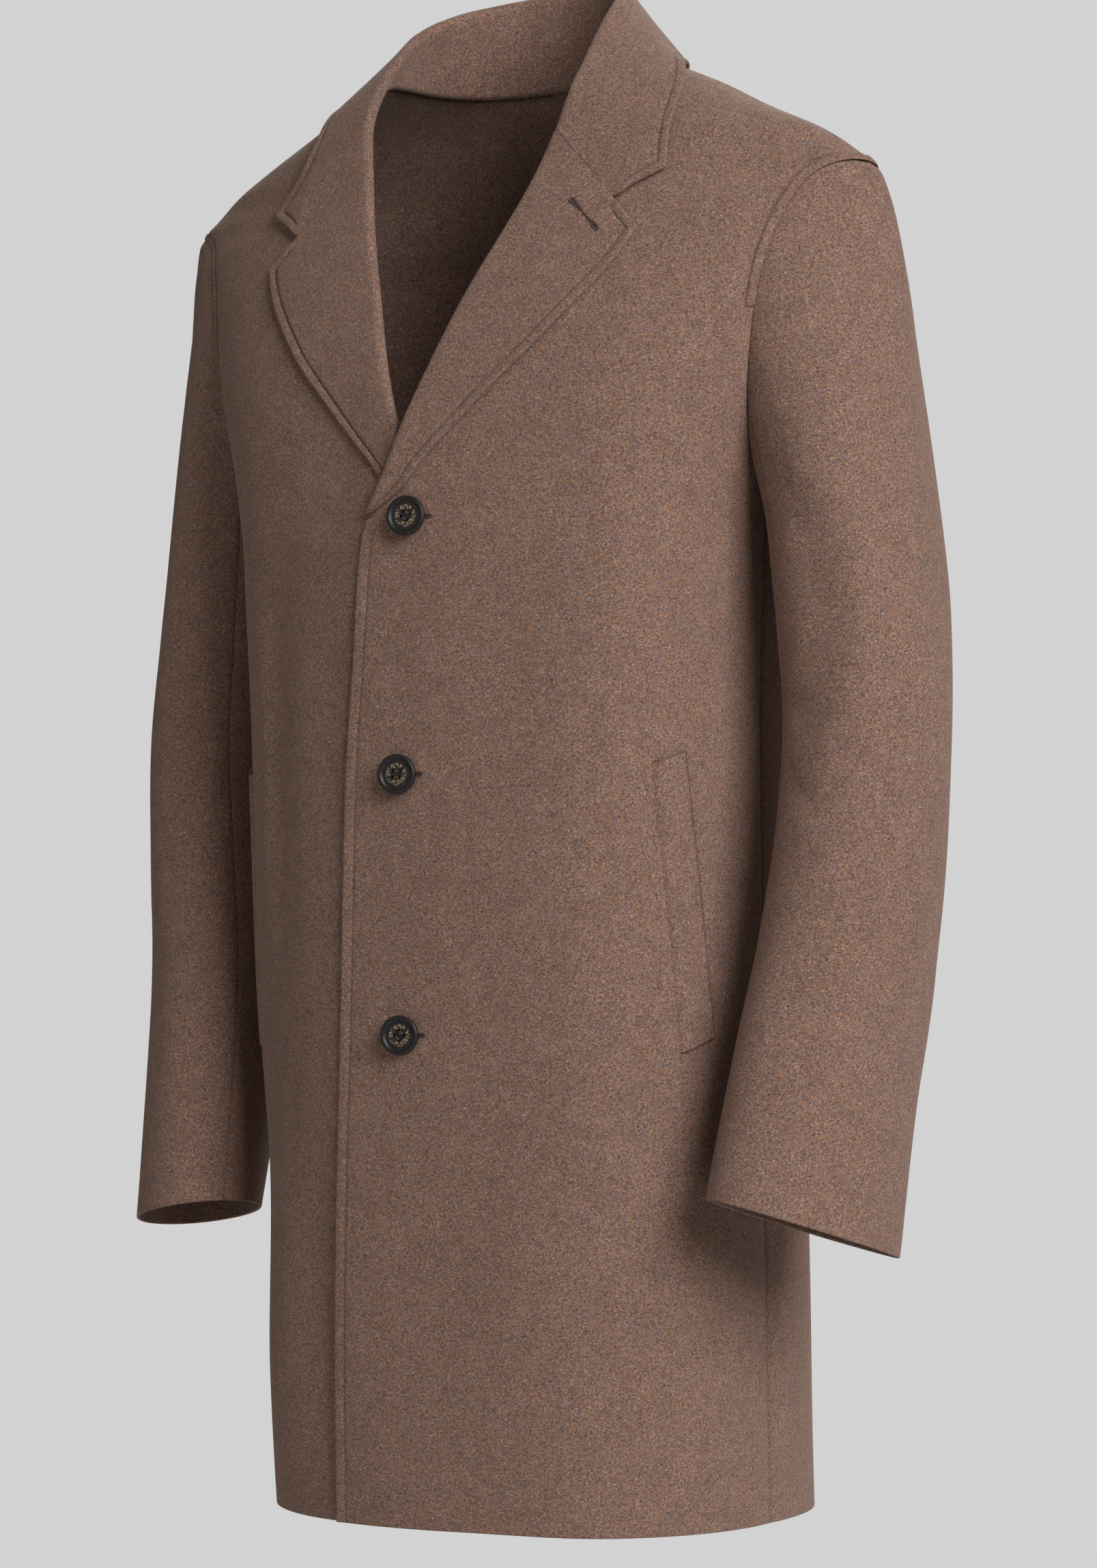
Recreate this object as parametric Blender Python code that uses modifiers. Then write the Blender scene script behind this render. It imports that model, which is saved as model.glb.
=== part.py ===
"""Single-breasted three-button wool topcoat, open and hollow as it is worn.

Metres, +Z up. The wearer faces -Y and the wearer's left is +X.
The origin is the middle of the neck base, where the shoulders carry the coat.
Every cloth piece is a closed wall whose points come from one body form, one sleeve form
and one collar form, so neighbours keep an even gap along their shared seams.
"""
import math

import bmesh
import bpy
from mathutils import Matrix, Vector

OBJECT_NAME = "topcoat"

# Cloth and seams
PANEL_WALL = 0.0022
SLEEVE_WALL = 0.0020
TURNED_WALL = 0.0026
SEAM_GAP = 0.0003
HALF_GAP = SEAM_GAP / 2
STEP = 0.0001
SHARP_EDGE = math.radians(50)

# Colours and finish
WOOL_COLOUR = (0.205, 0.126, 0.100, 1.0)
BUTTON_COLOUR = (0.020, 0.015, 0.013, 1.0)
WOOL_ROUGHNESS = 0.95
BUTTON_ROUGHNESS = 0.35

# Body form: horizontal sections, each a rounded ring about (0, side_y)
BODY_COLUMNS = ("z", "half_width", "side_y", "front_y", "back_y", "front_power", "back_power")
BODY_SECTIONS = (
    (-0.916, 0.1740, 0.046, -0.106, 0.202, 2.4, 2.5),
    (-0.700, 0.1765, 0.035, -0.116, 0.191, 2.5, 2.5),
    (-0.550, 0.1780, 0.030, -0.120, 0.180, 2.7, 2.5),
    (-0.410, 0.1780, 0.027, -0.123, 0.177, 2.8, 2.6),
    (-0.290, 0.1820, 0.025, -0.125, 0.175, 2.9, 2.6),
    (-0.250, 0.1890, 0.024, -0.123, 0.173, 2.8, 2.5),
    (-0.217, 0.1995, 0.023, -0.119, 0.170, 2.7, 2.4),
    (-0.170, 0.2170, 0.022, -0.107, 0.163, 2.6, 2.3),
    (-0.120, 0.2350, 0.022, -0.088, 0.153, 2.4, 2.15),
    (-0.080, 0.2520, 0.021, -0.071, 0.141, 2.1, 2.0),
    (-0.056, 0.2600, 0.020, -0.062, 0.132, 1.9, 1.9),
    (-0.0475, 0.2500, 0.020, -0.059, 0.129, 1.9, 1.9),
    (-0.031, 0.2255, 0.020, -0.053, 0.122, 2.1, 2.0),
    (-0.011, 0.1850, 0.020, -0.047, 0.113, 2.2, 2.1),
    (0.006, 0.1540, 0.020, -0.041, 0.104, 2.2, 2.2),
    (0.018, 0.1280, 0.020, -0.036, 0.096, 2.2, 2.3),
    (0.036, 0.0850, 0.020, -0.030, 0.085, 2.2, 2.2),
)
HEM_Z = -0.916
NECK_Z = 0.0335
TIP_SPREAD, TIP_END, TIP_SINE = 0.022, 0.075, 0.80
SIDE = math.pi / 2

# Armhole: a tilted egg-shaped loop round the side of the body form
ARM_TOP_Z = -0.056
ARM_BOTTOM_Z = -0.250
ARM_STEPS = 10
ARM_ROUNDNESS = 0.6
ARM_FRONT_MEAN, ARM_FRONT_SLOPE = math.radians(26.8), math.radians(9.0)
ARM_BACK_MEAN, ARM_BACK_SLOPE = math.radians(24.0), math.radians(7.0)
SLEEVE_STEP_DOWN = 0.0008

# Front edge below the top button, and the lapel roll line above it, as they lie on the left
EDGE_COLUMNS = ("z", "x")
FRONT_EDGE = (
    (-0.916, -0.0605), (-0.815, -0.0575), (-0.600, -0.0460), (-0.437, -0.0385),
    (-0.361, -0.0310), (-0.310, -0.0270), (-0.290, -0.0240), (-0.2775, -0.0205),
)
ROLL_LINE = (
    (-0.2760, -0.0185), (-0.2465, -0.0035), (-0.2120, 0.0090), (-0.1627, 0.0275),
    (-0.1276, 0.0405), (-0.0976, 0.0530), (-0.0700, 0.0635), (-0.0304, 0.0755),
)
BREAK_Z = -0.2760
GORGE_Z = -0.0304

# The right front passes under the left one
UNDERLAP_DEPTH = 0.0030
CROSSING_DEPTH = 0.0042
CROSSING_Z, CROSSING_REACH = -0.240, 0.060
UNDERLAP_START_X, UNDERLAP_FULL_X = -0.115, -0.040
UNDERLAP_TOP_Z, UNDERLAP_FULL_Z = -0.050, -0.200
LEFT_LIFT = 0.0015
LIFT_START_X, LIFT_FULL_X = 0.070, 0.010

# Lapel rows from the break to the gorge: where each starts on the roll and ends on the edge
LAPEL_COLUMNS = ("roll_z", "edge_x", "edge_z", "strip", "roll_radius")
LAPEL_ROWS = (
    (-0.2735, -0.0110, -0.2705, 0.0012, 0.0016),
    (-0.2630, 0.0060, -0.2590, 0.0035, 0.0018),
    (-0.2420, 0.0230, -0.2390, 0.0055, 0.0020),
    (-0.2150, 0.0440, -0.2180, 0.0060, 0.0022),
    (-0.1850, 0.0680, -0.1935, 0.0060, 0.0025),
    (-0.1550, 0.0895, -0.1725, 0.0060, 0.0027),
    (-0.1250, 0.1075, -0.1520, 0.0060, 0.0028),
    (-0.0950, 0.1225, -0.1340, 0.0060, 0.0028),
    (-0.0650, 0.1335, -0.1180, 0.0060, 0.0028),
    (GORGE_Z, 0.1430, -0.0990, 0.0060, 0.0028),
)
LAPEL_SPREAD = (0.14, 0.32, 0.52, 0.695, 0.85, 1.0)
NOTCH_SHARE = 0.695
LAPEL_EDGE_RISE = 0.0024
RIGHT_LAPEL_FIRST_ROW = 1
ROLL_ARC = tuple(math.radians(degrees) for degrees in (0, 45, 90, 135, 180))

# Collar from the gorge round to the centre back: neck seam on the body, roll, and leaf edge
COLLAR_COLUMNS = ("neck_angle", "neck_z", "roll_x", "roll_y", "roll_z",
                  "leaf_angle", "leaf_z", "leaf_lean")
COLLAR_STATIONS = (
    (29.6, -0.0040, 0.0810, -0.0420, -0.0040, 38.7, -0.0320, 2.7),
    (40.0, 0.0145, 0.0830, -0.0280, 0.0180, 48.0, -0.0080, 5.0),
    (54.0, 0.0260, 0.0820, -0.0100, 0.0400, 64.0, 0.0100, 5.0),
    (72.0, 0.0320, 0.0800, 0.0080, 0.0580, 86.0, 0.0205, 2.0),
    (100.0, NECK_Z, 0.0710, 0.0310, 0.0730, 112.0, 0.0235, 0.0),
    (125.0, NECK_Z, 0.0570, 0.0550, 0.0830, 133.0, 0.0235, 0.0),
    (152.0, NECK_Z, 0.0320, 0.0720, 0.0890, 156.0, 0.0220, 0.0),
    (180.0, NECK_Z, 0.0, 0.0780, 0.0910, 180.0, 0.0200, 0.0),
)
COLLAR_TIP = (0.1520, -0.0605)
GORGE_ROLL_Y = -0.055
NECK_CENTRE_Y = 0.020
COLLAR_RISE = 0.0036
COLLAR_ROLL_RADIUS = 0.0030
COLLAR_BULGE = 0.0015
COLLAR_SPREAD = (0.14, 0.32, 0.52, 0.695, 0.80, 0.90, 1.0)
STAND_SPREAD = (0.0, 0.5)

# Sleeve rings from the cuff up to the armpit: centre, half width and depth, and turn of the long axis
SLEEVE_COLUMNS = ("z", "x", "y", "half_width", "half_depth", "turn")
SLEEVE_RINGS = (
    (-0.721, 0.2380, -0.0235, 0.0420, 0.0650, 30.0),
    (-0.630, 0.2410, -0.0020, 0.0450, 0.0630, 24.0),
    (-0.552, 0.2460, 0.0160, 0.0480, 0.0620, 18.0),
    (-0.480, 0.2520, 0.0240, 0.0490, 0.0600, 13.0),
    (-0.410, 0.2545, 0.0280, 0.0500, 0.0575, 8.0),
    (-0.345, 0.2495, 0.0335, 0.0505, 0.0615, 5.0),
    (-0.290, 0.2420, 0.0370, 0.0505, 0.0660, 2.0),
)
CAP_ROWS = 7
ARM_ROWS = 11
CAP_REACH_TOP, CAP_REACH_SIDE = 0.019, 0.011
CAP_REACH_SHARE = 0.4
CAP_SETTLE = 0.50
ARRIVAL_STEP = 0.02
CUFF_TILT, CUFF_TILT_START_Z = 0.16, -0.600
CUFF_PITCH = {1: 0.0, -1: -0.16}
CUFF_DROP = {1: 0.0, -1: 0.007}
FRONT_SEAM_STEP = 3
BACK_SEAM_STEP = 4

# Welt pockets: corners as body angle and height, from the upper front corner round
WELT_COLUMNS = ("angle", "z")
WELT_CORNERS = ((53.0, -0.432), (61.5, -0.424), (69.5, -0.603), (59.5, -0.614))
WELT_THICKNESS = 0.0024
WELT_ROWS, WELT_COLS = 8, 3

# Buttons down the centre front
BUTTON_COLUMNS = ("name", "x", "z")
BUTTONS = (
    ("button_top", 0.0118, -0.2760),
    ("button_middle", 0.0028, -0.4375),
    ("button_bottom", 0.0014, -0.6020),
)
BUTTON_RADIUS = 0.0127
BUTTON_HEIGHT = 0.0040
BUTTON_RIM = 0.0033
BUTTON_DISH = 0.0010
BUTTON_CREST = (0.7, 0.3)
BUTTON_TURN = math.radians(16)
BUTTON_CLEARANCE = 0.0005
BUTTON_STAND_OFF = (BUTTON_CLEARANCE + BUTTON_RADIUS * math.sin(BUTTON_TURN)
                    - BUTTON_DISH * math.cos(BUTTON_TURN))
BUTTON_STEPS = 28

# Panel grids
FRONT_COLS = 9
BACK_COLS = 16
SKIRT_LEVELS = (-0.850, -0.780, -0.710, -0.640, -0.570, -0.500, -0.430, -0.370, -0.320,
                -0.290, -0.2775, -0.2745, -0.2680, -0.2600)
SHOULDER_ROWS = 6
NECK_TRIM = 0.9


def lerp(start, end, share):
    """Straight blend from start to end."""
    return start + (end - start) * share


def smoothstep(start, end, value):
    """Soft 0 to 1 ramp as value goes from start to end."""
    share = min(1.0, max(0.0, (value - start) / (end - start)))
    return share * share * (3 - 2 * share)


def curve_value(rows, key, column):
    """Smooth value of one column at a key, where the rows rise in their first column."""
    count = len(rows)
    index = max(0, min(count - 2, sum(1 for row in rows if row[0] <= key) - 1))

    def secant(place):
        """Straight slope from one row to the next."""
        return (rows[place + 1][column] - rows[place][column]) / (rows[place + 1][0] - rows[place][0])

    def slope(place):
        """Slope at a row: level at a peak, else the gentler mean of both sides."""
        if place in (0, count - 1):
            return secant(min(place, count - 2))
        before, after = secant(place - 1), secant(place)
        return 2 * before * after / (before + after) if before * after > 0 else 0.0

    run = rows[index + 1][0] - rows[index][0]
    t = (key - rows[index][0]) / run
    start, end = rows[index][column], rows[index + 1][column]
    ease = t * t * (3 - 2 * t)
    return (start + (end - start) * ease + t * (1 - t) ** 2 * run * slope(index)
            - t * t * (1 - t) * run * slope(index + 1))


def column_slope(rows, key, column):
    """Slope of one column of a table at a key."""
    return (curve_value(rows, key + STEP, column) - curve_value(rows, key - STEP, column)) / (2 * STEP)


def body_section(z):
    """Named sizes of the body form at one height, with a width evened out over the shoulder tip."""
    size = {name: curve_value(BODY_SECTIONS, z, i) for i, name in enumerate(BODY_COLUMNS) if i}
    spread = TIP_SPREAD * (1 - smoothstep(TIP_SPREAD, TIP_END, abs(z - ARM_TOP_Z)))
    around = [curve_value(BODY_SECTIONS, z + step, 1) for step in (-spread, spread)]
    size["even_width"] = (size["half_width"] + sum(around)) / 3
    return size


def body_point(angle, z):
    """Point of the body form: angle 0 is the front, a quarter turn the left side."""
    size = body_section(z)
    across, along = math.sin(angle), math.cos(angle)
    if along >= 0:
        depth, power = size["side_y"] - size["front_y"], size["front_power"]
    else:
        depth, power = size["back_y"] - size["side_y"], size["back_power"]
    reach = (abs(across) ** power + abs(along) ** power) ** (-1 / power)
    at_side = smoothstep(TIP_SINE, 1.0, abs(across))
    width = lerp(size["even_width"], size["half_width"], at_side)
    return Vector((width * reach * across, size["side_y"] - depth * reach * along, z))


def body_normal(angle, z):
    """Outward normal of the body form."""
    along_ring = body_point(angle + STEP, z) - body_point(angle - STEP, z)
    up = body_point(angle, z + STEP) - body_point(angle, z - STEP)
    return along_ring.cross(up).normalized()


def body_lift(angle, z, rise):
    """Point of the body form moved out by rise."""
    return body_point(angle, z) + body_normal(angle, z) * rise


def front_angle(x, z):
    """Body angle of the front point at x."""
    size = body_section(z)
    power = size["front_power"]
    share = min(1.0, abs(x) / size["even_width"])
    return math.copysign(math.atan2(share, (1 - share ** power) ** (1 / power)), x)


def panel_offset(side, x, z):
    """How far a front lies off the body form: the right one dips under the left one."""
    crossing = 1 - smoothstep(0.0, CROSSING_REACH, abs(z - CROSSING_Z))
    if side > 0:
        return LEFT_LIFT * crossing * smoothstep(LIFT_START_X, LIFT_FULL_X, x)
    depth = UNDERLAP_DEPTH + CROSSING_DEPTH * crossing
    below_neck = smoothstep(UNDERLAP_TOP_Z, UNDERLAP_FULL_Z, z)
    return -depth * below_neck * smoothstep(UNDERLAP_START_X, UNDERLAP_FULL_X, x)


def front_point(side, angle, z, rise=0.0):
    """Point of the left (+1) or right (-1) front, moved out by rise."""
    base = body_point(angle, z)
    return base + body_normal(angle, z) * (panel_offset(side, base.x, z) + rise)


def armhole_loop(step, is_back):
    """Body angle and height of one step of the left armhole, from the underarm up."""
    turn = math.pi * step / ARM_STEPS
    level = -math.cos(turn)
    z = lerp(ARM_BOTTOM_Z, ARM_TOP_Z, (level + 1) / 2)
    mean, slope = (ARM_BACK_MEAN, ARM_BACK_SLOPE) if is_back else (ARM_FRONT_MEAN, ARM_FRONT_SLOPE)
    width = max(0.0, math.sin(turn)) ** ARM_ROUNDNESS * (mean + slope * level)
    return (SIDE + width if is_back else SIDE - width), z


def armhole_frame():
    """Centre of the left armhole, and the normal of its tilted plane towards the sleeve."""
    top = body_point(SIDE, ARM_TOP_Z)
    bottom = body_point(SIDE, ARM_BOTTOM_Z)
    rise = (top - bottom).normalized()
    return (top + bottom) / 2, Vector((rise.z, 0, -rise.x))


ARM_CENTRE, ARM_NORMAL = armhole_frame()


def armhole_pair(step, is_back, side_of_seam, wall, drop=0.0):
    """Outer and inner seam points: +1 on the sleeve's side, -1 on the body's side."""
    angle, z = armhole_loop(step, is_back)
    point = body_point(angle, z)
    spoke = point - ARM_CENTRE
    spoke = (spoke - ARM_NORMAL * spoke.dot(ARM_NORMAL)).normalized()
    outer = point + ARM_NORMAL * (side_of_seam * HALF_GAP) - spoke * drop
    return outer, outer - spoke * wall


def mirrored(pairs):
    """The same rows of point pairs on the wearer's other side."""
    return [[tuple(Vector((-p.x, p.y, p.z)) for p in pair) for pair in row] for row in pairs]


def plain_material(name, colour, roughness):
    """One material with the piece's own colour and roughness."""
    material = bpy.data.materials.new(name)
    material.use_nodes = True
    shader = material.node_tree.nodes["Principled BSDF"]
    shader.inputs["Base Color"].default_value = colour
    shader.inputs["Roughness"].default_value = roughness
    shader.inputs["Metallic"].default_value = 0.0
    return material


def add_object(name, mesh, material):
    """Put a finished mesh into the coat's collection."""
    piece = bpy.data.objects.new(name, mesh)
    mesh.materials.append(material)
    COLLECTION.objects.link(piece)
    return piece


def add_wall(name, pairs):
    """Closed wall through rows of (outer, inner) point pairs."""
    shape = bmesh.new()
    rows, cols = len(pairs), len(pairs[0])
    skins = [[[shape.verts.new(pair[skin]) for pair in row] for row in pairs] for skin in (0, 1)]
    for skin in skins:
        for r in range(rows - 1):
            for c in range(cols - 1):
                shape.faces.new((skin[r][c], skin[r][c + 1], skin[r + 1][c + 1], skin[r + 1][c]))
    rim = [(0, c) for c in range(cols - 1)] + [(r, cols - 1) for r in range(rows - 1)]
    rim += [(rows - 1, c) for c in range(cols - 1, 0, -1)] + [(r, 0) for r in range(rows - 1, 0, -1)]
    outer, inner = skins
    for (r0, c0), (r1, c1) in zip(rim, rim[1:] + rim[:1]):
        shape.faces.new((outer[r0][c0], outer[r1][c1], inner[r1][c1], inner[r0][c0]))
    bmesh.ops.recalc_face_normals(shape, faces=shape.faces)
    mesh = bpy.data.meshes.new(name)
    shape.to_mesh(mesh)
    shape.free()
    mesh.shade_smooth()
    mesh.set_sharp_from_angle(angle=SHARP_EDGE)
    return add_object(name, mesh, plain_material(name, WOOL_COLOUR, WOOL_ROUGHNESS))


def sheet_pairs(rows, wall):
    """Pairs on both sides of a middle sheet, using the sheet's own normals."""
    last_row, last_col = len(rows) - 1, len(rows[0]) - 1
    pairs = []
    for r, row in enumerate(rows):
        line = []
        for c, point in enumerate(row):
            down = rows[min(r + 1, last_row)][c] - rows[max(r - 1, 0)][c]
            across = row[min(c + 1, last_col)] - row[max(c - 1, 0)]
            half = across.cross(down).normalized() * (wall / 2)
            line.append((point + half, point - half))
        pairs.append(line)
    return pairs


def panel_levels():
    """Heights of the panel rows from hem to neck, with the kind of side edge each has."""
    levels = [(HEM_Z, None)] + [(z, None) for z in SKIRT_LEVELS]
    levels += [(armhole_loop(step, False)[1], step) for step in range(ARM_STEPS + 1)]
    levels += [(lerp(ARM_TOP_Z, NECK_Z, i / SHOULDER_ROWS), None) for i in range(1, SHOULDER_ROWS + 1)]
    return levels


def neck_angle(z):
    """Body angle of the front neckline above the gorge."""
    roll = curve_value(ROLL_LINE, GORGE_Z, 1)
    first = math.degrees(front_angle(roll + LAPEL_ROWS[-1][3] + SEAM_GAP, GORGE_Z))
    line = [(GORGE_Z, first)] + [(row[1], row[0]) for row in COLLAR_STATIONS if row[0] < 90]
    line.append((NECK_Z, 90.0))
    return math.radians(curve_value(line, z, 1))


def front_edge_angle(z):
    """Body angle of a front's free edge: front edge, roll line, then neckline."""
    if z >= GORGE_Z:
        return neck_angle(z)
    if z > BREAK_Z:
        strip = curve_value([(row[0], row[3]) for row in LAPEL_ROWS], z, 1) + SEAM_GAP + HALF_GAP
        slant = column_slope(ROLL_LINE, z, 1)
        return front_angle(curve_value(ROLL_LINE, z, 1) + strip * math.hypot(1, slant), z)
    return front_angle(curve_value(FRONT_EDGE, z, 1), z)


def front_panel(side):
    """Left (+1) or right (-1) front, from the front edge to the side seam and armhole."""
    rows = []
    for z, step in panel_levels():
        edge = front_edge_angle(z)
        seam_step = HALF_GAP / body_section(z)["half_width"]
        end = (armhole_loop(step, False)[0] if step is not None else SIDE) - seam_step
        row = []
        for c in range(FRONT_COLS + 1):
            angle = lerp(edge, end, c / FRONT_COLS)
            normal = body_normal(side * angle, z)
            outer = front_point(side, side * angle, z)
            row.append((outer, outer - normal * PANEL_WALL))
        if step is not None:
            pair = armhole_pair(step, False, -1, PANEL_WALL)
            row[-1] = pair if side > 0 else mirrored([[pair]])[0][0]
        rows.append(row)
    below, top = rows[-2:]
    rows[-1] = [tuple(lerp(low, high, NECK_TRIM) for low, high in zip(a, b)) for a, b in zip(below, top)]
    return rows


def back_panel():
    """One back from side seam to side seam, with both armholes and the back neck."""
    rows = []
    for z, step in panel_levels():
        seam_step = HALF_GAP / body_section(z)["half_width"]
        start = (armhole_loop(step, True)[0] if step is not None else SIDE) + seam_step
        row = []
        for c in range(BACK_COLS + 1):
            angle = lerp(start, 2 * math.pi - start, c / BACK_COLS)
            outer = body_point(angle, z)
            row.append((outer, outer - body_normal(angle, z) * PANEL_WALL))
        if step is not None:
            row[0] = armhole_pair(step, True, -1, PANEL_WALL)
            row[-1] = mirrored([[row[0]]])[0][0]
        rows.append(row)
    return rows


def fold_frame(roll, tangent, base, leaf):
    """Unit vectors of a fold: towards the leaf's side, and towards the top of the fold."""
    pull = (base - roll).normalized() + (leaf - roll).normalized()
    top = -(pull - tangent * pull.dot(tangent)).normalized()
    out = tangent.cross(top).normalized()
    return (out if out.dot(leaf - base) > 0 else -out), top


def fold_arc(roll, out, top, radius):
    """Points round the fold, from the base's side over the top to the leaf's side."""
    return [roll + (top * math.sin(a) - out * math.cos(a)) * radius for a in ROLL_ARC]


def lapel_row(side, roll_z, edge_x, edge_z, strip, radius):
    """Middle line of one lapel row: strip beside the front, roll, then out to the edge."""
    roll_x = curve_value(ROLL_LINE, roll_z, 1)
    angle = side * front_angle(roll_x, roll_z)
    start = front_point(side, angle, roll_z)
    normal = body_normal(angle, roll_z)
    next_z = roll_z + STEP
    next_angle = side * front_angle(curve_value(ROLL_LINE, next_z, 1), next_z)
    tangent = (front_point(side, next_angle, next_z) - start).normalized()
    outward = tangent.cross(normal) * side
    centre = start + normal * (radius - PANEL_WALL / 2)
    row = [start - normal * (PANEL_WALL / 2) + outward * strip]
    row += fold_arc(centre, normal, -outward, radius)
    top_rise = 2 * radius - PANEL_WALL / 2
    for share in LAPEL_SPREAD:
        x, z = lerp(roll_x, edge_x, share), lerp(roll_z, edge_z, share)
        rise = lerp(top_rise, LAPEL_EDGE_RISE, smoothstep(0.0, 1.0, share))
        row.append(front_point(side, side * front_angle(x, z), z, rise))
    return row


def gorge_shift(side):
    """Half a seam gap along the cloth, square to the gorge and away from the lapel."""
    row = lapel_row(side, *LAPEL_ROWS[-1])
    along = (row[-1] - row[len(ROLL_ARC)]).normalized()
    normal = body_normal(side * front_angle(LAPEL_ROWS[-1][1], GORGE_Z), GORGE_Z)
    shift = normal.cross(along).normalized() * HALF_GAP
    return shift if shift.z > 0 else -shift


def lapel(side):
    """Lapel: the facing turned back over the front along the roll line."""
    first = 0 if side > 0 else RIGHT_LAPEL_FIRST_ROW
    rows = [lapel_row(side, *row) for row in LAPEL_ROWS[first:]]
    shift = gorge_shift(side)
    rows[-1] = [point - shift for point in rows[-1]]
    return sheet_pairs(rows, TURNED_WALL)


def collar_gorge(side):
    """First collar row: along the gorge to the notch, then out to the collar tip."""
    lapel_top = lapel_row(side, *LAPEL_ROWS[-1])
    head = 1 + len(ROLL_ARC)
    gorge_count = LAPEL_SPREAD.index(NOTCH_SHARE) + 1
    row = lapel_top[:head + gorge_count]
    row.insert(1, lerp(row[0], row[1], STAND_SPREAD[1]))
    notch_x = lerp(curve_value(ROLL_LINE, GORGE_Z, 1), LAPEL_ROWS[-1][1], NOTCH_SHARE)
    notch_z = lerp(GORGE_Z, LAPEL_ROWS[-1][2], NOTCH_SHARE)
    for share in COLLAR_SPREAD[gorge_count:]:
        out = (share - NOTCH_SHARE) / (1 - NOTCH_SHARE)
        x, z = lerp(notch_x, COLLAR_TIP[0], out), lerp(notch_z, COLLAR_TIP[1], out)
        row.append(front_point(side, side * front_angle(x, z), z, COLLAR_RISE))
    shift = gorge_shift(side)
    return [point + shift for point in row]


def collar_half(side):
    """Middle lines of the collar rows from the gorge to the centre back on one side."""
    rolls = [Vector(row[2:5]) for row in COLLAR_STATIONS]
    leaves = []
    for station in COLLAR_STATIONS:
        leaf_angle, leaf_z, leaf_lean = station[5:]
        leaves.append(body_lift(math.radians(leaf_angle + side * leaf_lean), leaf_z, COLLAR_RISE))
    rows = []
    for i, station in enumerate(COLLAR_STATIONS):
        angle, z = math.radians(station[0]), station[1]
        edge = body_point(angle, z)
        normal = body_normal(angle, z)
        roll, leaf = rolls[i], leaves[i]
        after = rolls[i + 1] if i + 1 < len(rolls) else Vector((-rolls[i - 1].x, *rolls[i - 1].yz))
        before = rolls[i - 1] if i else Vector((curve_value(ROLL_LINE, GORGE_Z, 1), GORGE_ROLL_Y, GORGE_Z))
        tangent = (after - before).normalized()
        inward = Vector((-edge.x, NECK_CENTRE_Y - edge.y, 0.0)).normalized()
        inward = (inward - normal * inward.dot(normal)).normalized()
        base = edge + inward * (SEAM_GAP + TURNED_WALL / 2) - normal * (PANEL_WALL / 2)
        out, top = fold_frame(roll, tangent, base, leaf)
        arc = fold_arc(roll, out, top, COLLAR_ROLL_RADIUS)
        row = [lerp(base, arc[0], share) for share in STAND_SPREAD] + arc
        middle = lerp(arc[-1], leaf, 0.5) + out * COLLAR_BULGE
        for share in COLLAR_SPREAD:
            row.append(lerp(lerp(arc[-1], middle, share), lerp(middle, leaf, share), share))
        rows.append(row)
    if side < 0:
        rows = [[Vector((-p.x, p.y, p.z)) for p in row] for row in rows]
    return [collar_gorge(side)] + rows


def collar():
    """Whole collar: left half, centre back, right half."""
    left, right = collar_half(1), collar_half(-1)
    return sheet_pairs(left + right[-2::-1], TURNED_WALL)


def sleeve_ring(side, z, turn):
    """Point of a sleeve ring, laid out on the left: turn 0 faces the body."""
    x, y, half_width, half_depth, axis_turn = (curve_value(SLEEVE_RINGS, z, i) for i in range(1, 6))
    local_x, local_y = -half_width * math.cos(turn), -half_depth * math.sin(turn)
    cos_turn, sin_turn = math.cos(math.radians(axis_turn)), math.sin(math.radians(axis_turn))
    dx = local_x * cos_turn + local_y * sin_turn
    dy = -local_x * sin_turn + local_y * cos_turn
    lean_x, lean_y = (column_slope(SLEEVE_RINGS, z, column) for column in (1, 2))
    near_cuff = smoothstep(CUFF_TILT_START_Z, SLEEVE_RINGS[0][0], z)
    lean_x += CUFF_TILT * near_cuff
    lean_y += CUFF_PITCH[side] * near_cuff
    drop = CUFF_DROP[side] * near_cuff
    return Vector((x + dx, y + dy, z - lean_x * dx - lean_y * dy - drop))


def seam_point(turn):
    """Sleeve side of the left armhole at any turn round it."""
    step = turn / math.pi * ARM_STEPS
    is_back = step > ARM_STEPS
    return armhole_pair(2 * ARM_STEPS - step if is_back else step, is_back, 1, SLEEVE_WALL, SLEEVE_STEP_DOWN)


def sleeve_point(side, turn, level):
    """Sleeve, laid out on the left: level 0 to 1 over the cap, 1 to 2 down the arm to the cuff."""
    cuff_z, top_z = SLEEVE_RINGS[0][0], SLEEVE_RINGS[-1][0]
    if level >= 1:
        return sleeve_ring(side, lerp(top_z, cuff_z, level - 1), turn)
    start = seam_point(turn)[0]
    end = sleeve_ring(side, top_z, turn)
    upper = (1 - math.cos(turn)) / 2
    leave = (ARM_NORMAL * upper + Vector((0, 0, -1)) * (1 - upper)).normalized()
    reach = min(lerp(CAP_REACH_SIDE, CAP_REACH_TOP, upper), CAP_REACH_SHARE * (end - start).length)
    arrive = (end - sleeve_ring(side, top_z - ARRIVAL_STEP, turn)).normalized()
    first = start + leave * reach
    second = end + arrive * (CAP_SETTLE * (end - start).length)
    t, s = level, 1 - level
    return start * s ** 3 + first * (3 * s * s * t) + second * (3 * s * t * t) + end * t ** 3


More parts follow.
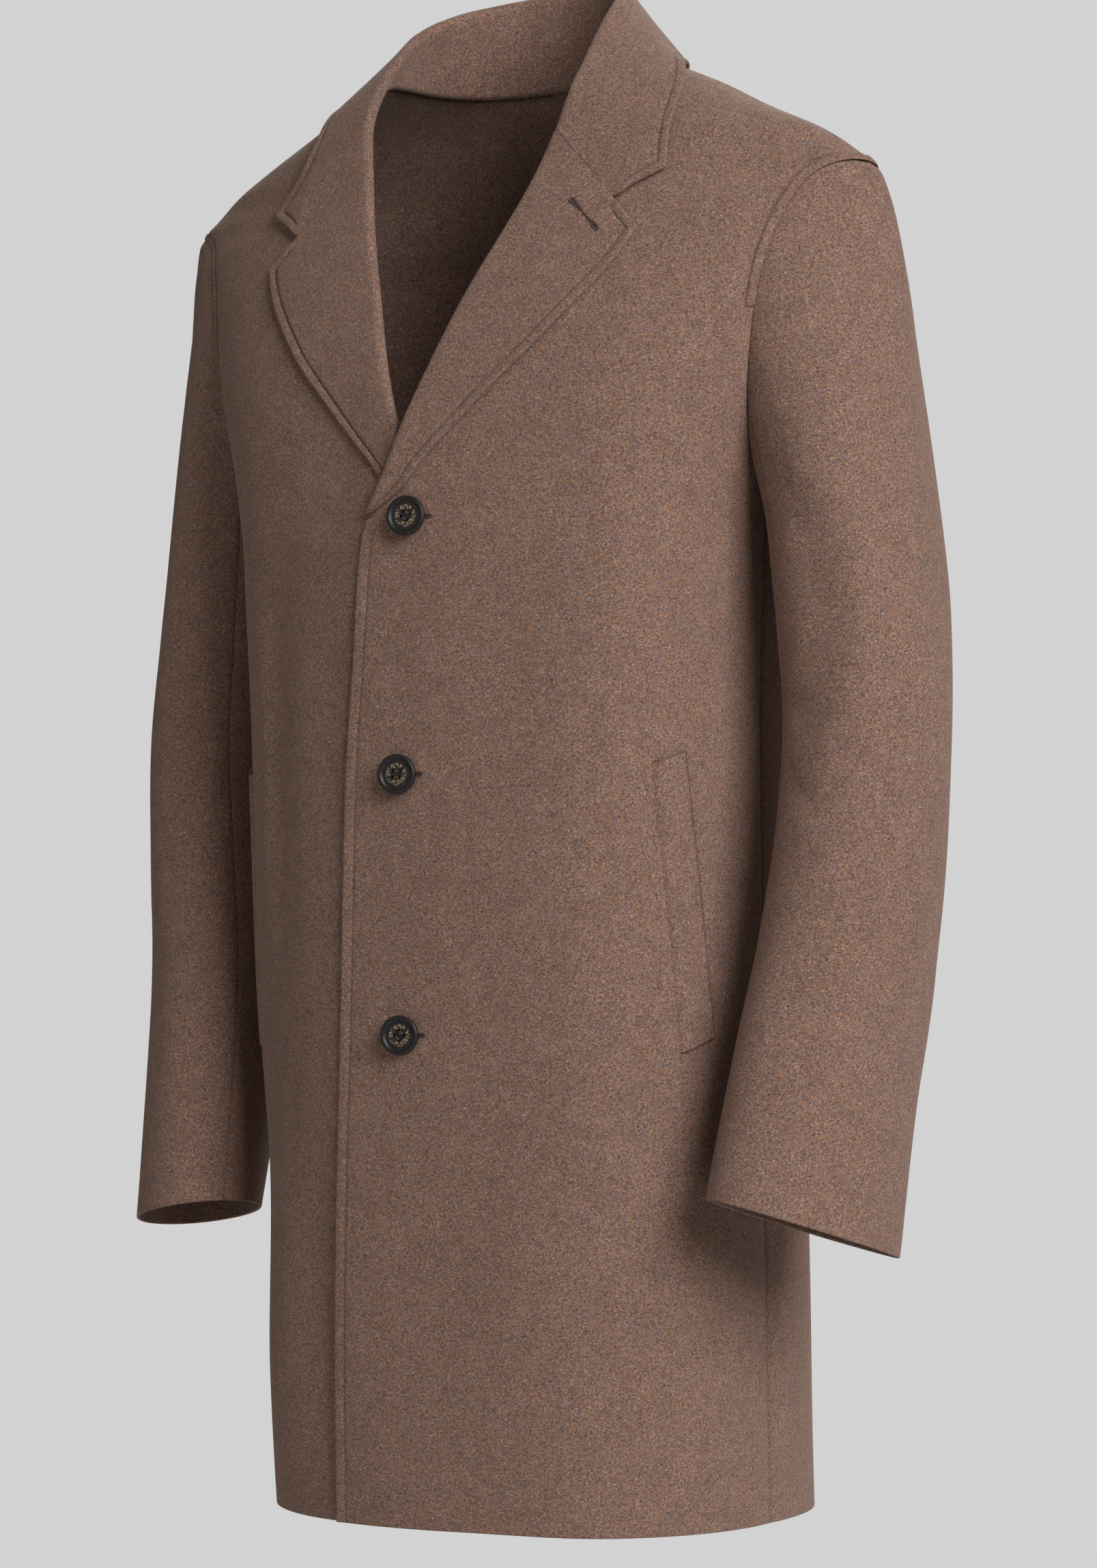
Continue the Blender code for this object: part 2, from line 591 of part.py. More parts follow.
def sleeve_pairs(side, turns):
    """Wall rows of a sleeve piece between two seams, from armhole to cuff, laid out on the left."""
    levels = [i / CAP_ROWS for i in range(CAP_ROWS)] + [1 + i / ARM_ROWS for i in range(ARM_ROWS + 1)]
    rows = []
    for level in levels:
        row = []
        for turn in turns:
            outer = sleeve_point(side, turn, level)
            if level == 0:
                row.append(seam_point(turn))
                continue
            low, high = max(level - STEP, 0), min(level + STEP, 2)
            down = sleeve_point(side, turn, high) - sleeve_point(side, turn, low)
            round_arm = sleeve_point(side, turn + STEP, level) - sleeve_point(side, turn - STEP, level)
            normal = down.cross(round_arm).normalized()
            row.append((outer, outer - normal * SLEEVE_WALL))
        rows.append(row)
    return rows


def sleeve_turns(first_step, last_step):
    """Turns of a piece's columns, drawn in by half a gap at both seams."""
    turns = [math.pi * step / ARM_STEPS for step in range(first_step, last_step + 1)]
    trim = HALF_GAP / SLEEVE_RINGS[0][3]
    return [turns[0] + trim] + turns[1:-1] + [turns[-1] - trim]


def welt_pairs(side):
    """Pocket welt lying on the front: a flat band between four corners."""
    corners = [(math.radians(angle), z) for angle, z in WELT_CORNERS]
    rows = []
    for r in range(WELT_ROWS + 1):
        down = r / WELT_ROWS
        row = []
        for c in range(WELT_COLS + 1):
            over = c / WELT_COLS
            angle, z = (lerp(lerp(corners[0][i], corners[1][i], over),
                             lerp(corners[3][i], corners[2][i], over), down) for i in (0, 1))
            inner = front_point(side, side * angle, z, SEAM_GAP)
            outer = front_point(side, side * angle, z, SEAM_GAP + WELT_THICKNESS)
            row.append((outer, inner))
        rows.append(row)
    return rows


def add_button(name, x, z):
    """Turned button with a raised rim, hanging a little askew on the left front."""
    dish_height = BUTTON_HEIGHT - BUTTON_DISH
    dish_radius = BUTTON_RADIUS - BUTTON_RIM
    crest_in, crest_out = (BUTTON_RADIUS - BUTTON_RIM * share for share in BUTTON_CREST)
    profile = ((0.0, dish_height), (dish_radius, dish_height), (crest_in, BUTTON_HEIGHT),
               (crest_out, BUTTON_HEIGHT), (BUTTON_RADIUS, dish_height), (BUTTON_RADIUS, BUTTON_DISH),
               (dish_radius, 0.0), (0.0, 0.0))
    mesh = bpy.data.meshes.new(name)
    edges = [(i, i + 1) for i in range(len(profile) - 1)]
    mesh.from_pydata([(r, 0.0, h) for r, h in profile], edges, [])
    button = add_object(name, mesh, plain_material(name, BUTTON_COLOUR, BUTTON_ROUGHNESS))
    turned = button.modifiers.new("turned", "SCREW")
    turned.steps = turned.render_steps = BUTTON_STEPS
    turned.use_merge_vertices = True
    turned.merge_threshold = STEP / 10
    angle = front_angle(x, z)
    button.location = front_point(1, angle, z, BUTTON_STAND_OFF)
    facing = Matrix.Rotation(BUTTON_TURN, 3, "Z") @ body_normal(angle, z)
    button.rotation_euler = facing.to_track_quat("Z", "Y").to_euler()
    return button


for old in list(bpy.data.objects):
    bpy.data.objects.remove(old, do_unlink=True)
COLLECTION = bpy.data.collections.new(OBJECT_NAME)
bpy.context.scene.collection.children.link(COLLECTION)

add_wall("back", back_panel())
for side, side_name in ((1, "left"), (-1, "right")):
    add_wall("front_" + side_name, front_panel(side))
    add_wall("lapel_" + side_name, lapel(side))
    add_wall("welt_" + side_name, welt_pairs(side))
    upper_sleeve = sleeve_pairs(side, sleeve_turns(FRONT_SEAM_STEP, 2 * ARM_STEPS - BACK_SEAM_STEP))
    under_sleeve = sleeve_pairs(side, sleeve_turns(-BACK_SEAM_STEP, FRONT_SEAM_STEP))
    add_wall("sleeve_upper_" + side_name, upper_sleeve if side > 0 else mirrored(upper_sleeve))
    add_wall("sleeve_under_" + side_name, under_sleeve if side > 0 else mirrored(under_sleeve))
add_wall("collar", collar())
for button_name, button_x, button_z in BUTTONS:
    add_button(button_name, button_x, button_z)
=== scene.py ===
"""Looks of a single-breasted wool topcoat: fine cloth shells, sewing, buttons, light and camera.

Metres, +Z up. The wearer faces -Y and the wearer's left is +X. The cloth forms repeat the solids' own
formulas at a finer step, with rounded edges, pressed seams, soft folds and stitching worked in.
"""
import math

import bmesh
import bpy
import numpy as np
from mathutils import Matrix, Vector


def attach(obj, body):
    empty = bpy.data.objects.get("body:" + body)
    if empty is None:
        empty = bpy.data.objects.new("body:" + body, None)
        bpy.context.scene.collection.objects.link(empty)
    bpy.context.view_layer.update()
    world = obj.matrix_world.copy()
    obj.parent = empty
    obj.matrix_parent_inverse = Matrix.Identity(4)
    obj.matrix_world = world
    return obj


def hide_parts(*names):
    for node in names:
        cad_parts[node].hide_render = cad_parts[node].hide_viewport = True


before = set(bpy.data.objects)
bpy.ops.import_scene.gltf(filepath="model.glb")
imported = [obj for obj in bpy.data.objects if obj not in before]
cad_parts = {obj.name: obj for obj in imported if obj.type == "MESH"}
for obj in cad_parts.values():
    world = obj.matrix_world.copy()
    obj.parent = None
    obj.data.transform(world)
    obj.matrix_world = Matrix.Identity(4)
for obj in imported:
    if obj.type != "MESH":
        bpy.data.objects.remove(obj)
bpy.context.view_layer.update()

# Cloth and seams
PANEL_WALL = 0.0022
SLEEVE_WALL = 0.0020
TURNED_WALL = 0.0026
SEAM_GAP = 0.0003
HALF_GAP = SEAM_GAP / 2
STEP = 0.0001
SIDE = math.pi / 2
SIDE_NAMES = {1: "left", -1: "right"}
TINY = 1e-12

# Body form: horizontal sections, each a rounded ring about (0, side_y)
BODY_COLUMNS = ("z", "half_width", "side_y", "front_y", "back_y", "front_power", "back_power")
BODY_SECTIONS = (
    (-0.916, 0.1740, 0.046, -0.106, 0.202, 2.4, 2.5),
    (-0.700, 0.1765, 0.035, -0.116, 0.191, 2.5, 2.5),
    (-0.550, 0.1780, 0.030, -0.120, 0.180, 2.7, 2.5),
    (-0.410, 0.1780, 0.027, -0.123, 0.177, 2.8, 2.6),
    (-0.290, 0.1820, 0.025, -0.125, 0.175, 2.9, 2.6),
    (-0.250, 0.1890, 0.024, -0.123, 0.173, 2.8, 2.5),
    (-0.217, 0.1995, 0.023, -0.119, 0.170, 2.7, 2.4),
    (-0.170, 0.2170, 0.022, -0.107, 0.163, 2.6, 2.3),
    (-0.120, 0.2350, 0.022, -0.088, 0.153, 2.4, 2.15),
    (-0.080, 0.2520, 0.021, -0.071, 0.141, 2.1, 2.0),
    (-0.056, 0.2600, 0.020, -0.062, 0.132, 1.9, 1.9),
    (-0.0475, 0.2500, 0.020, -0.059, 0.129, 1.9, 1.9),
    (-0.031, 0.2255, 0.020, -0.053, 0.122, 2.1, 2.0),
    (-0.011, 0.1850, 0.020, -0.047, 0.113, 2.2, 2.1),
    (0.006, 0.1540, 0.020, -0.041, 0.104, 2.2, 2.2),
    (0.018, 0.1280, 0.020, -0.036, 0.096, 2.2, 2.3),
    (0.036, 0.0850, 0.020, -0.030, 0.085, 2.2, 2.2),
)
HEM_Z = -0.916
NECK_Z = 0.0335
TIP_SPREAD, TIP_END, TIP_SINE = 0.022, 0.075, 0.80

# Armhole: a tilted egg-shaped loop round the side of the body form
ARM_TOP_Z = -0.056
ARM_BOTTOM_Z = -0.250
ARM_STEPS = 10
ARM_ROUNDNESS = 0.6
ARM_FRONT_MEAN, ARM_FRONT_SLOPE = math.radians(26.8), math.radians(9.0)
ARM_BACK_MEAN, ARM_BACK_SLOPE = math.radians(24.0), math.radians(7.0)
SLEEVE_STEP_DOWN = 0.0008

# Front edge below the top button, and the lapel roll line above it, as they lie on the left
# Columns: z, x
FRONT_EDGE = (
    (-0.916, -0.0605), (-0.815, -0.0575), (-0.600, -0.0460), (-0.437, -0.0385),
    (-0.361, -0.0310), (-0.310, -0.0270), (-0.290, -0.0240), (-0.2775, -0.0205),
)
ROLL_LINE = (
    (-0.2760, -0.0185), (-0.2465, -0.0035), (-0.2120, 0.0090), (-0.1627, 0.0275),
    (-0.1276, 0.0405), (-0.0976, 0.0530), (-0.0700, 0.0635), (-0.0304, 0.0755),
)
EDGE_TOP_Z, ROLL_START_Z = -0.2775, -0.2745
GORGE_Z = -0.0304

# The right front passes under the left one
UNDERLAP_DEPTH = 0.0030
CROSSING_DEPTH = 0.0042
CROSSING_Z, CROSSING_REACH = -0.240, 0.060
UNDERLAP_START_X, UNDERLAP_FULL_X = -0.115, -0.040
UNDERLAP_TOP_Z, UNDERLAP_FULL_Z = -0.050, -0.200
LEFT_LIFT = 0.0015
LIFT_START_X, LIFT_FULL_X = 0.070, 0.010

# Buttoned fronts stand out along the front edge and fall away on both sides of it
KEEL_RISE, KEEL_ROUND = 0.0035, 0.006
KEEL_LEFT_SLOPE, KEEL_LEFT_FADE = 0.090, (0.080, 0.180)
KEEL_RIGHT_SLOPE, KEEL_RIGHT_FADE = 0.130, (0.060, 0.120)
KEEL_TOP_Z, KEEL_FULL_Z = -0.150, -0.290
KEEL_EVEN_Z, KEEL_LOW_Z = -0.660, -0.830

# Lapel rows from the break to the gorge: where each starts on the roll and ends on the edge
# Columns: roll_z, edge_x, edge_z, strip, roll_radius
LAPEL_ROWS = (
    (-0.2735, -0.0110, -0.2705, 0.0012, 0.0016),
    (-0.2630, 0.0060, -0.2590, 0.0035, 0.0018),
    (-0.2420, 0.0230, -0.2390, 0.0055, 0.0020),
    (-0.2150, 0.0440, -0.2180, 0.0060, 0.0022),
    (-0.1850, 0.0680, -0.1935, 0.0060, 0.0025),
    (-0.1550, 0.0895, -0.1725, 0.0060, 0.0027),
    (-0.1250, 0.1075, -0.1520, 0.0060, 0.0028),
    (-0.0950, 0.1225, -0.1340, 0.0060, 0.0028),
    (-0.0650, 0.1335, -0.1180, 0.0060, 0.0028),
    (GORGE_Z, 0.1430, -0.0990, 0.0060, 0.0028),
)
NOTCH_SHARE = 0.695
LAPEL_EDGE_RISE = 0.0024
RIGHT_LAPEL_FIRST_ROW = 1
ROLL_ARC = np.radians(np.linspace(0, 180, 13))

# Collar from the gorge round to the centre back: neck seam on the body, roll, and leaf edge
# Columns: neck_angle, neck_z, roll_x, roll_y, roll_z, leaf_angle, leaf_z, leaf_lean
COLLAR_STATIONS = (
    (29.6, -0.0040, 0.0810, -0.0420, -0.0040, 38.7, -0.0320, 2.7),
    (40.0, 0.0145, 0.0830, -0.0280, 0.0180, 48.0, -0.0080, 5.0),
    (54.0, 0.0260, 0.0820, -0.0100, 0.0400, 64.0, 0.0100, 5.0),
    (72.0, 0.0320, 0.0800, 0.0080, 0.0580, 86.0, 0.0205, 2.0),
    (100.0, NECK_Z, 0.0710, 0.0310, 0.0730, 112.0, 0.0235, 0.0),
    (125.0, NECK_Z, 0.0570, 0.0550, 0.0830, 133.0, 0.0235, 0.0),
    (152.0, NECK_Z, 0.0320, 0.0720, 0.0890, 156.0, 0.0220, 0.0),
    (180.0, NECK_Z, 0.0, 0.0780, 0.0910, 180.0, 0.0200, 0.0),
)
COLLAR_TIP = (0.1520, -0.0605)
GORGE_ROLL_Y = -0.055
NECK_CENTRE_Y = 0.020
COLLAR_RISE = 0.0036
COLLAR_ROLL_RADIUS = 0.0030
COLLAR_BULGE = 0.0015
STAND_SPREAD = (0.0, 0.5)
LEAF_SPREAD = (0.14, 0.32, 0.52, NOTCH_SHARE, 0.80, 0.90, 1.0)

# Sleeve rings from the cuff up to the armpit: centre, half width and depth, and turn of the long axis
# Columns: z, x, y, half_width, half_depth, turn
SLEEVE_RINGS = (
    (-0.721, 0.2380, -0.0235, 0.0420, 0.0650, 30.0),
    (-0.630, 0.2410, -0.0020, 0.0450, 0.0630, 24.0),
    (-0.552, 0.2460, 0.0160, 0.0480, 0.0620, 18.0),
    (-0.480, 0.2520, 0.0240, 0.0490, 0.0600, 13.0),
    (-0.410, 0.2545, 0.0280, 0.0500, 0.0575, 8.0),
    (-0.345, 0.2495, 0.0335, 0.0505, 0.0615, 5.0),
    (-0.290, 0.2420, 0.0370, 0.0505, 0.0660, 2.0),
)
CUFF_Z, ARMPIT_Z = SLEEVE_RINGS[0][0], SLEEVE_RINGS[-1][0]
CAP_REACH_TOP, CAP_REACH_SIDE = 0.019, 0.011
CAP_REACH_SHARE = 0.4
CAP_SETTLE = 0.50
ARRIVAL_STEP = 0.02
CUFF_TILT, CUFF_TILT_START_Z = 0.16, -0.600
CUFF_PITCH = {1: 0.0, -1: -0.16}
CUFF_DROP = {1: 0.0, -1: 0.007}
FRONT_SEAM_STEP = 3
BACK_SEAM_STEP = 4

# Welt pockets: corners as body angle and height, from the upper front corner round
# Columns: angle, z
WELT_CORNERS = ((53.0, -0.432), (61.5, -0.424), (69.5, -0.603), (59.5, -0.614))
WELT_THICKNESS = 0.0024
WELT_SEAM_RUN = 0.0060
WELT_SEAM_DEPTH = 0.0003
WELT_RIM, WELT_RIM_PUFF = 0.0050, 0.0004
WELT_END_ROUND = 0.0009
# Widths of the painted shade along the welt's ends and of the painted shadow line along its open rear edge
WELT_END_SHADE_WIDTH, WELT_REAR_SHADOW_WIDTH = 0.0015, 0.0030
WELT_MOUTH_WIDTH, WELT_MOUTH_DEPTH = 0.0028, 0.0026

# Buttons down the centre front, with the turn of their holes in degrees
# Columns: name, x, z, turn
BUTTONS = (
    ("button_top", 0.0118, -0.2760, 18.0),
    ("button_middle", 0.0028, -0.4375, 41.0),
    ("button_bottom", 0.0014, -0.6020, 6.0),
)
BUTTON_RADIUS = 0.0127
BUTTON_HEIGHT = 0.0040
BUTTON_TURN = math.radians(16)
BUTTON_CLEARANCE, BUTTON_DISH = 0.0005, 0.0010
BUTTON_STAND_OFF = (BUTTON_CLEARANCE + BUTTON_RADIUS * math.sin(BUTTON_TURN)
                    - BUTTON_DISH * math.cos(BUTTON_TURN))
BUTTON_STEPS = 80
# Columns: radius_share, height_share
BUTTON_PROFILE = (
    (0.00, 0.74), (0.30, 0.73), (0.55, 0.70), (0.70, 0.67), (0.735, 0.69), (0.77, 0.82),
    (0.81, 0.94), (0.86, 1.00), (0.91, 0.99), (0.96, 0.90), (0.99, 0.74), (1.00, 0.55),
    (0.985, 0.30), (0.93, 0.10), (0.80, 0.0), (0.00, 0.0),
)
HOLE_RADIUS, HOLE_REACH, HOLE_SEGMENTS = 0.00115, 0.0030, 24
SHARP_ANGLE = math.radians(40)
THREAD_LEVEL, THREAD_SLIDES, BUTTON_THREAD = 0.72, (-0.00035, 0.0, 0.00035), 0.00026

# Worked buttonholes: length and width, and the lapel's from its eye to its end in x and z
HOLE_LENGTH, HOLE_WIDTH, HOLE_EYE = 0.026, 0.0040, 1.3
HOLE_SETBACK = 0.0098
LAPEL_HOLE = ((0.0957, -0.0761), (0.1197, -0.0992))
LAPEL_HOLE_WIDTH, LAPEL_HOLE_EYE = 0.0050, 1.5
HOLE_RAISE, HOLE_THREAD = 0.0003, 0.00034
HOLE_BARS, HOLE_EYE_SPAN, HOLE_POWERS = 76, (-0.60, -0.97), (0.55, 0.40)
# The second pair sets how far the slit's dark sheet of painted shade reaches
BAR_INNER, SLIT_SHADE_REACH = (0.95, 0.12), (0.90, 0.15)

# Fine grids
CLOTH_STEP = 0.0045
EDGE_STEPS = (0.0, 0.0003, 0.0008, 0.0014, 0.0023, 0.0036)
GROOVE_STEPS = (-0.0013, -0.0006, 0.0, 0.0006, 0.0013, 0.0028)
ARM_FINE_ROWS = 56
SHOULDER_STEPS = (0.0006, 0.0012, 0.0019, 0.0027, 0.0033, 0.0037, 0.0041, 0.0047, 0.0057, 0.0075)
SHOULDER_ROWS = 26
BAR_STEPS = (-0.10, -0.05, -0.025, 0.0, 0.025, 0.05, 0.10)
NECK_END = 0.0004
FIND_STEPS, ARM_PATH_POINTS, LINE_SHARE = 240, 224, 0.8
LAPEL_FIND_ROWS, LAPEL_SPREAD = 90, np.linspace(0.02, 1.0, 60)
COLLAR_FIND = (220, 110)
LAPEL_GRID, COLLAR_GRID = (46, 60), (40, 130)
FACE_COLUMN, FOOT_COLUMN = -8, 6
SLEEVE_GIRTH, CAP_LENGTH, CAP_EXTRA_ROWS = 0.055, 0.15, 8
CAP_END_LINES, ARM_START_LINES = np.array((0.0, 0.02)), np.array((0.0, 0.01))
WELT_LINES = 10

# Sewing: pressed stitch lines, seams and the raised edge of the armhole; grooves and seams are also darkened
# with painted shade
FRONT_INSET = 0.0080
TURNED_INSET = 0.0065
ARM_INSET = 0.0060
ARM_BAND = (0.9 * ARM_INSET, 1.2 * ARM_INSET)
GROOVE_DEPTH = 0.0010
GROOVE_HALF_WIDTH = 0.0007
# The second value darkens the front edge's stitch line: pressed cloth with painted shade
FRONT_GROOVE_DEPTH, FRONT_PRESS_SHADE = 0.0005, 0.35
EDGE_PUFF = 0.0006
EDGE_ROUNDNESS = 0.92
SEAM_ROUND = 0.0005
SEAM_TUCK = 0.004
# Mesh attribute that darkens the wool along grooves and seams: pressed cloth together with painted shade
PRESS_SHADE_NAME = "press_shade"
# Darkening at panel and sleeve seams: pressed cloth with painted shade
SEAM_PRESS_SHADE = 0.45
SLEEVE_SEAM_PRESS_SHADE, SLEEVE_SEAM_DIP = 0.20, 0.0004
GORGE_GAP = 0.0001
SEAM_DIP, SEAM_REACH = 0.0007, 0.0022
LEDGE_RISE, TIP_LEDGE_RISE = 0.0011, {1: 0.0011, -1: 0.0002}
TIP_LEDGE_Z = (-0.085, -0.060)
CAP_LIFT, CAP_LIFT_RUN = {1: 0.0, -1: 0.0010}, 0.016
CAP_LIFT_START = 0.80
ARM_STITCH_END_Z = -0.150
ARM_STITCH_FADE = 0.0008
STITCH_PITCH = 0.0036
STITCH_SHARE = 0.78
STITCH_RADIUS = 0.00019
STITCH_SINK = 0.00010
STITCH_STOP, STITCH_LEAN, BAR_POINT = 0.004, (1.0, 1.0, 0.3), 0.2
FREE_FADE, FREE_REACH = 0.010, 0.020

# Folds and waves die out towards edges and seams
CALM_EDGE, CALM_SEAM, CALM_CAP, CALM_TURNED = 0.010, 0.012, 0.020, 0.020
TURNED_WAVES = 0.5

# Soft folds of the fronts and back in front x (or back angle) and height, as three points on each
# Columns: piece, u0, z0, u1, z1, u2, z2, width, height
BODY_CREASES = (
    ("front_left", 0.062, -0.290, 0.090, -0.385, 0.074, -0.490, 0.034, -0.0016),
    ("front_left", 0.128, -0.190, 0.150, -0.295, 0.140, -0.405, 0.028, 0.0018),
    ("front_left", 0.172, -0.262, 0.160, -0.310, 0.138, -0.352, 0.016, -0.0018),
    ("front_left", 0.155, -0.640, 0.160, -0.770, 0.158, -0.905, 0.030, 0.0022),
    ("front_left", 0.112, -0.650, 0.118, -0.780, 0.122, -0.905, 0.034, -0.0020),
    ("front_left", 0.026, -0.660, 0.018, -0.780, 0.010, -0.900, 0.030, -0.0013),
    ("front_left", -0.030, -0.330, -0.022, -0.375, -0.030, -0.420, 0.020, 0.0010),
    ("front_right", -0.128, -0.300, -0.130, -0.420, -0.127, -0.555, 0.010, 0.0021),
    ("front_right", -0.110, -0.300, -0.112, -0.430, -0.113, -0.570, 0.013, -0.0021),
    ("front_right", -0.085, -0.330, -0.078, -0.480, -0.082, -0.640, 0.016, 0.0012),
    ("front_right", -0.118, -0.650, -0.114, -0.780, -0.112, -0.910, 0.026, 0.0034),
    ("front_right", -0.070, -0.660, -0.064, -0.790, -0.066, -0.912, 0.022, -0.0028),
    ("front_right", -0.160, -0.262, -0.150, -0.300, -0.136, -0.330, 0.013, -0.0015),
    ("back", 118.0, -0.262, 128.0, -0.330, 139.0, -0.385, 0.022, -0.0022),
    ("back", 243.0, -0.262, 233.0, -0.325, 220.0, -0.400, 0.020, -0.0025),
    ("back", 152.0, -0.420, 149.0, -0.620, 150.0, -0.895, 0.034, 0.0026),
    ("back", 168.0, -0.480, 166.0, -0.690, 165.0, -0.900, 0.036, -0.0022),
    ("back", 205.0, -0.440, 208.0, -0.650, 210.0, -0.900, 0.030, 0.0024),
    ("back", 222.0, -0.520, 226.0, -0.700, 227.0, -0.890, 0.028, -0.0018),
)

# Soft folds of the sleeves in degrees of turn and level: 1 is the armpit and 2 the cuff
# Columns: side, turn0, level0, turn1, level1, turn2, level2, width, height
SLEEVE_CREASES = (
    (1, 56.0, 0.72, 99.0, 1.10, 68.0, 1.30, 0.017, -0.0034),
    (1, 80.0, 0.78, 127.0, 1.08, 102.0, 1.36, 0.016, 0.0018),
    (1, 62.0, 1.24, 84.0, 1.27, 104.0, 1.25, 0.008, -0.0018),
    (1, 58.0, 1.33, 86.0, 1.38, 116.0, 1.40, 0.009, -0.0021),
    (1, 162.0, 0.22, 170.0, 0.60, 176.0, 1.05, 0.016, 0.0016),
    (1, 195.0, 0.55, 190.0, 0.90, 196.0, 1.20, 0.020, -0.0014),
    (1, 112.0, 1.55, 126.0, 1.72, 122.0, 1.92, 0.020, -0.0015),
    (1, 150.0, 1.50, 158.0, 1.68, 152.0, 1.86, 0.022, 0.0013),
    (1, 270.0, 1.10, 250.0, 1.28, 236.0, 1.36, 0.012, -0.0020),
    (1, 276.0, 1.36, 256.0, 1.42, 238.0, 1.44, 0.010, -0.0017),
    (-1, 60.0, 0.76, 96.0, 1.12, 72.0, 1.30, 0.016, -0.0028),
    (-1, 64.0, 1.28, 90.0, 1.31, 112.0, 1.27, 0.008, -0.0017),
    (-1, 60.0, 1.37, 92.0, 1.43, 120.0, 1.46, 0.010, -0.0020),
    (-1, 120.0, 1.48, 108.0, 1.66, 116.0, 1.88, 0.018, 0.0016),
    (-1, 140.0, 1.52, 132.0, 1.70, 138.0, 1.90, 0.016, -0.0014),
    (-1, 165.0, 0.25, 172.0, 0.62, 174.0, 1.02, 0.016, 0.0014),
    (-1, 272.0, 1.14, 250.0, 1.30, 232.0, 1.37, 0.012, -0.0022),
    (-1, 280.0, 1.40, 260.0, 1.45, 240.0, 1.46, 0.010, -0.0016),
)
CREASE_POINTS = 25
CREASE_TAPER = 0.6

# Broad unevenness of hanging cloth: waves by their counts per metre and their heights
# Columns: per_x, per_y, per_z, phase, height
WAVES = (
    (3.1, 2.3, 1.7, 0.4, 0.00045),
    (-4.7, 3.9, 2.9, 1.9, 0.00035),
    (7.3, 6.1, -3.7, 3.1, 0.00022),
    (-11.0, 8.7, 6.3, 5.0, 0.00013),
)

# Colours, linear
# Columns: place, colour
HEATHER = (
    (0.28, (0.058, 0.032, 0.026)),
    (0.40, (0.120, 0.072, 0.057)),
    (0.50, (0.205, 0.122, 0.094)),
    (0.60, (0.300, 0.182, 0.138)),
    (0.72, (0.460, 0.308, 0.245)),
)
TINTS = (
    (0.30, (0.82, 1.02, 1.36)),
    (0.44, (0.97, 1.01, 1.06)),
    (0.56, (1.04, 0.99, 0.92)),
    (0.70, (1.20, 0.97, 0.66)),
)
GRAIN, CLOUD = ((0.30, 0.60), (0.70, 1.40)), ((0.30, 0.91), (0.70, 1.09))
# Wool darkening along grooves and seams, to 0.60 at full strength: pressed cloth together with painted shade
PRESS_SHADE_STOPS = ((0.0, 1.0), (1.0, 0.60))
BUTTON_COLOUR = (0.011, 0.010, 0.009)
HORN_COLOUR = (0.450, 0.320, 0.200, 1.0)
BACKGROUND = (0.645, 0.645, 0.645, 1.0)

# Wool: colour layers multiplied together, and bumps, by noise scale, detail, roughness and distortion
FIBRE_STRETCH = (1.0, 1.0, 1.25)
# Columns: place, noise, colours
WOOL_LAYERS = (
    ("fibre", (760, 5, 0.65, 0.8), HEATHER),
    ("fibre", (340, 4, 0.62, 1.0), TINTS),
    ("cloth", (1500, 2, 0.60, 0.0), GRAIN),
    ("cloth", (70, 4, 0.60, 0.0), CLOUD),
)
# Columns: place, noise, strength, distance
WOOL_BUMPS = (
    ("cloth", (260, 3, 0.60, 0.0), 0.25, 0.0010),
    ("fibre", (1300, 3, 0.65, 0.6), 0.40, 0.0006),
)
WOOL_SURFACE = {"Roughness": 0.96, "Specular IOR Level": 0.18, "Sheen Weight": 0.22,
                "Sheen Roughness": 0.55, "Sheen Tint": (0.75, 0.62, 0.55, 1.0)}

# Buttons: dark swirls, and pale flecks in a ring round the holes
BUTTON_SURFACE = {"Roughness": 0.42, "Specular IOR Level": 0.35}
HORN_RING, RING_STOPS = (0.28, 0.58), ((0.0, 0.0), (0.25, 1.0), (0.75, 1.0), (1.0, 0.0))
FLECK_NOISE, FLECK_STOPS = (420, 2, 0.5, 2.2), ((0.50, 0.0), (0.60, 0.90))
SWIRL_NOISE, SWIRL_SHADES = (150, 4, 0.6, 1.5), ((0.35, 0.75), (0.70, 1.50))
SCRATCH_NOISE, SCRATCH_BUMP = (900, 3, 0.6), (0.06, 0.0002)

# Threads, the painted shade of the buttonhole slits, and floor: one colour each in darker and lighter shades
THREAD_SHADES, EVEN_SHADES = ((0.35, 0.70), (0.65, 1.30)), ((0.30, 0.97), (0.70, 1.03))
# Columns: name, colour, roughness, noise, shades, bump
SHADED_SURFACES = (
    ("thread", (0.115, 0.068, 0.053), 0.75, (2400, 2, 0.5), THREAD_SHADES, (0.4, 0.0003)),
    ("buttonhole_thread", (0.085, 0.049, 0.038), 0.75, (2400, 2, 0.5), THREAD_SHADES, (0.4, 0.0003)),
    # The slit's dark colour is painted shade in the buttonhole's opening
    ("slit_shade", (0.032, 0.019, 0.015), 0.90, (400, 2, 0.5), EVEN_SHADES, None),
    ("floor", (0.62, 0.62, 0.62), 0.80, (3, 2, 0.5), EVEN_SHADES, None),
)

# Camera: where it stands, its lens and the framing
CAMERA_AZIMUTH = 34.0
CAMERA_DISTANCE = 2.6
CAMERA_Z = -0.55
CAMERA_LENS, SENSOR_WIDTH = 90.94, 36.0
CAMERA_SHIFT = (0.0272, 0.1076)

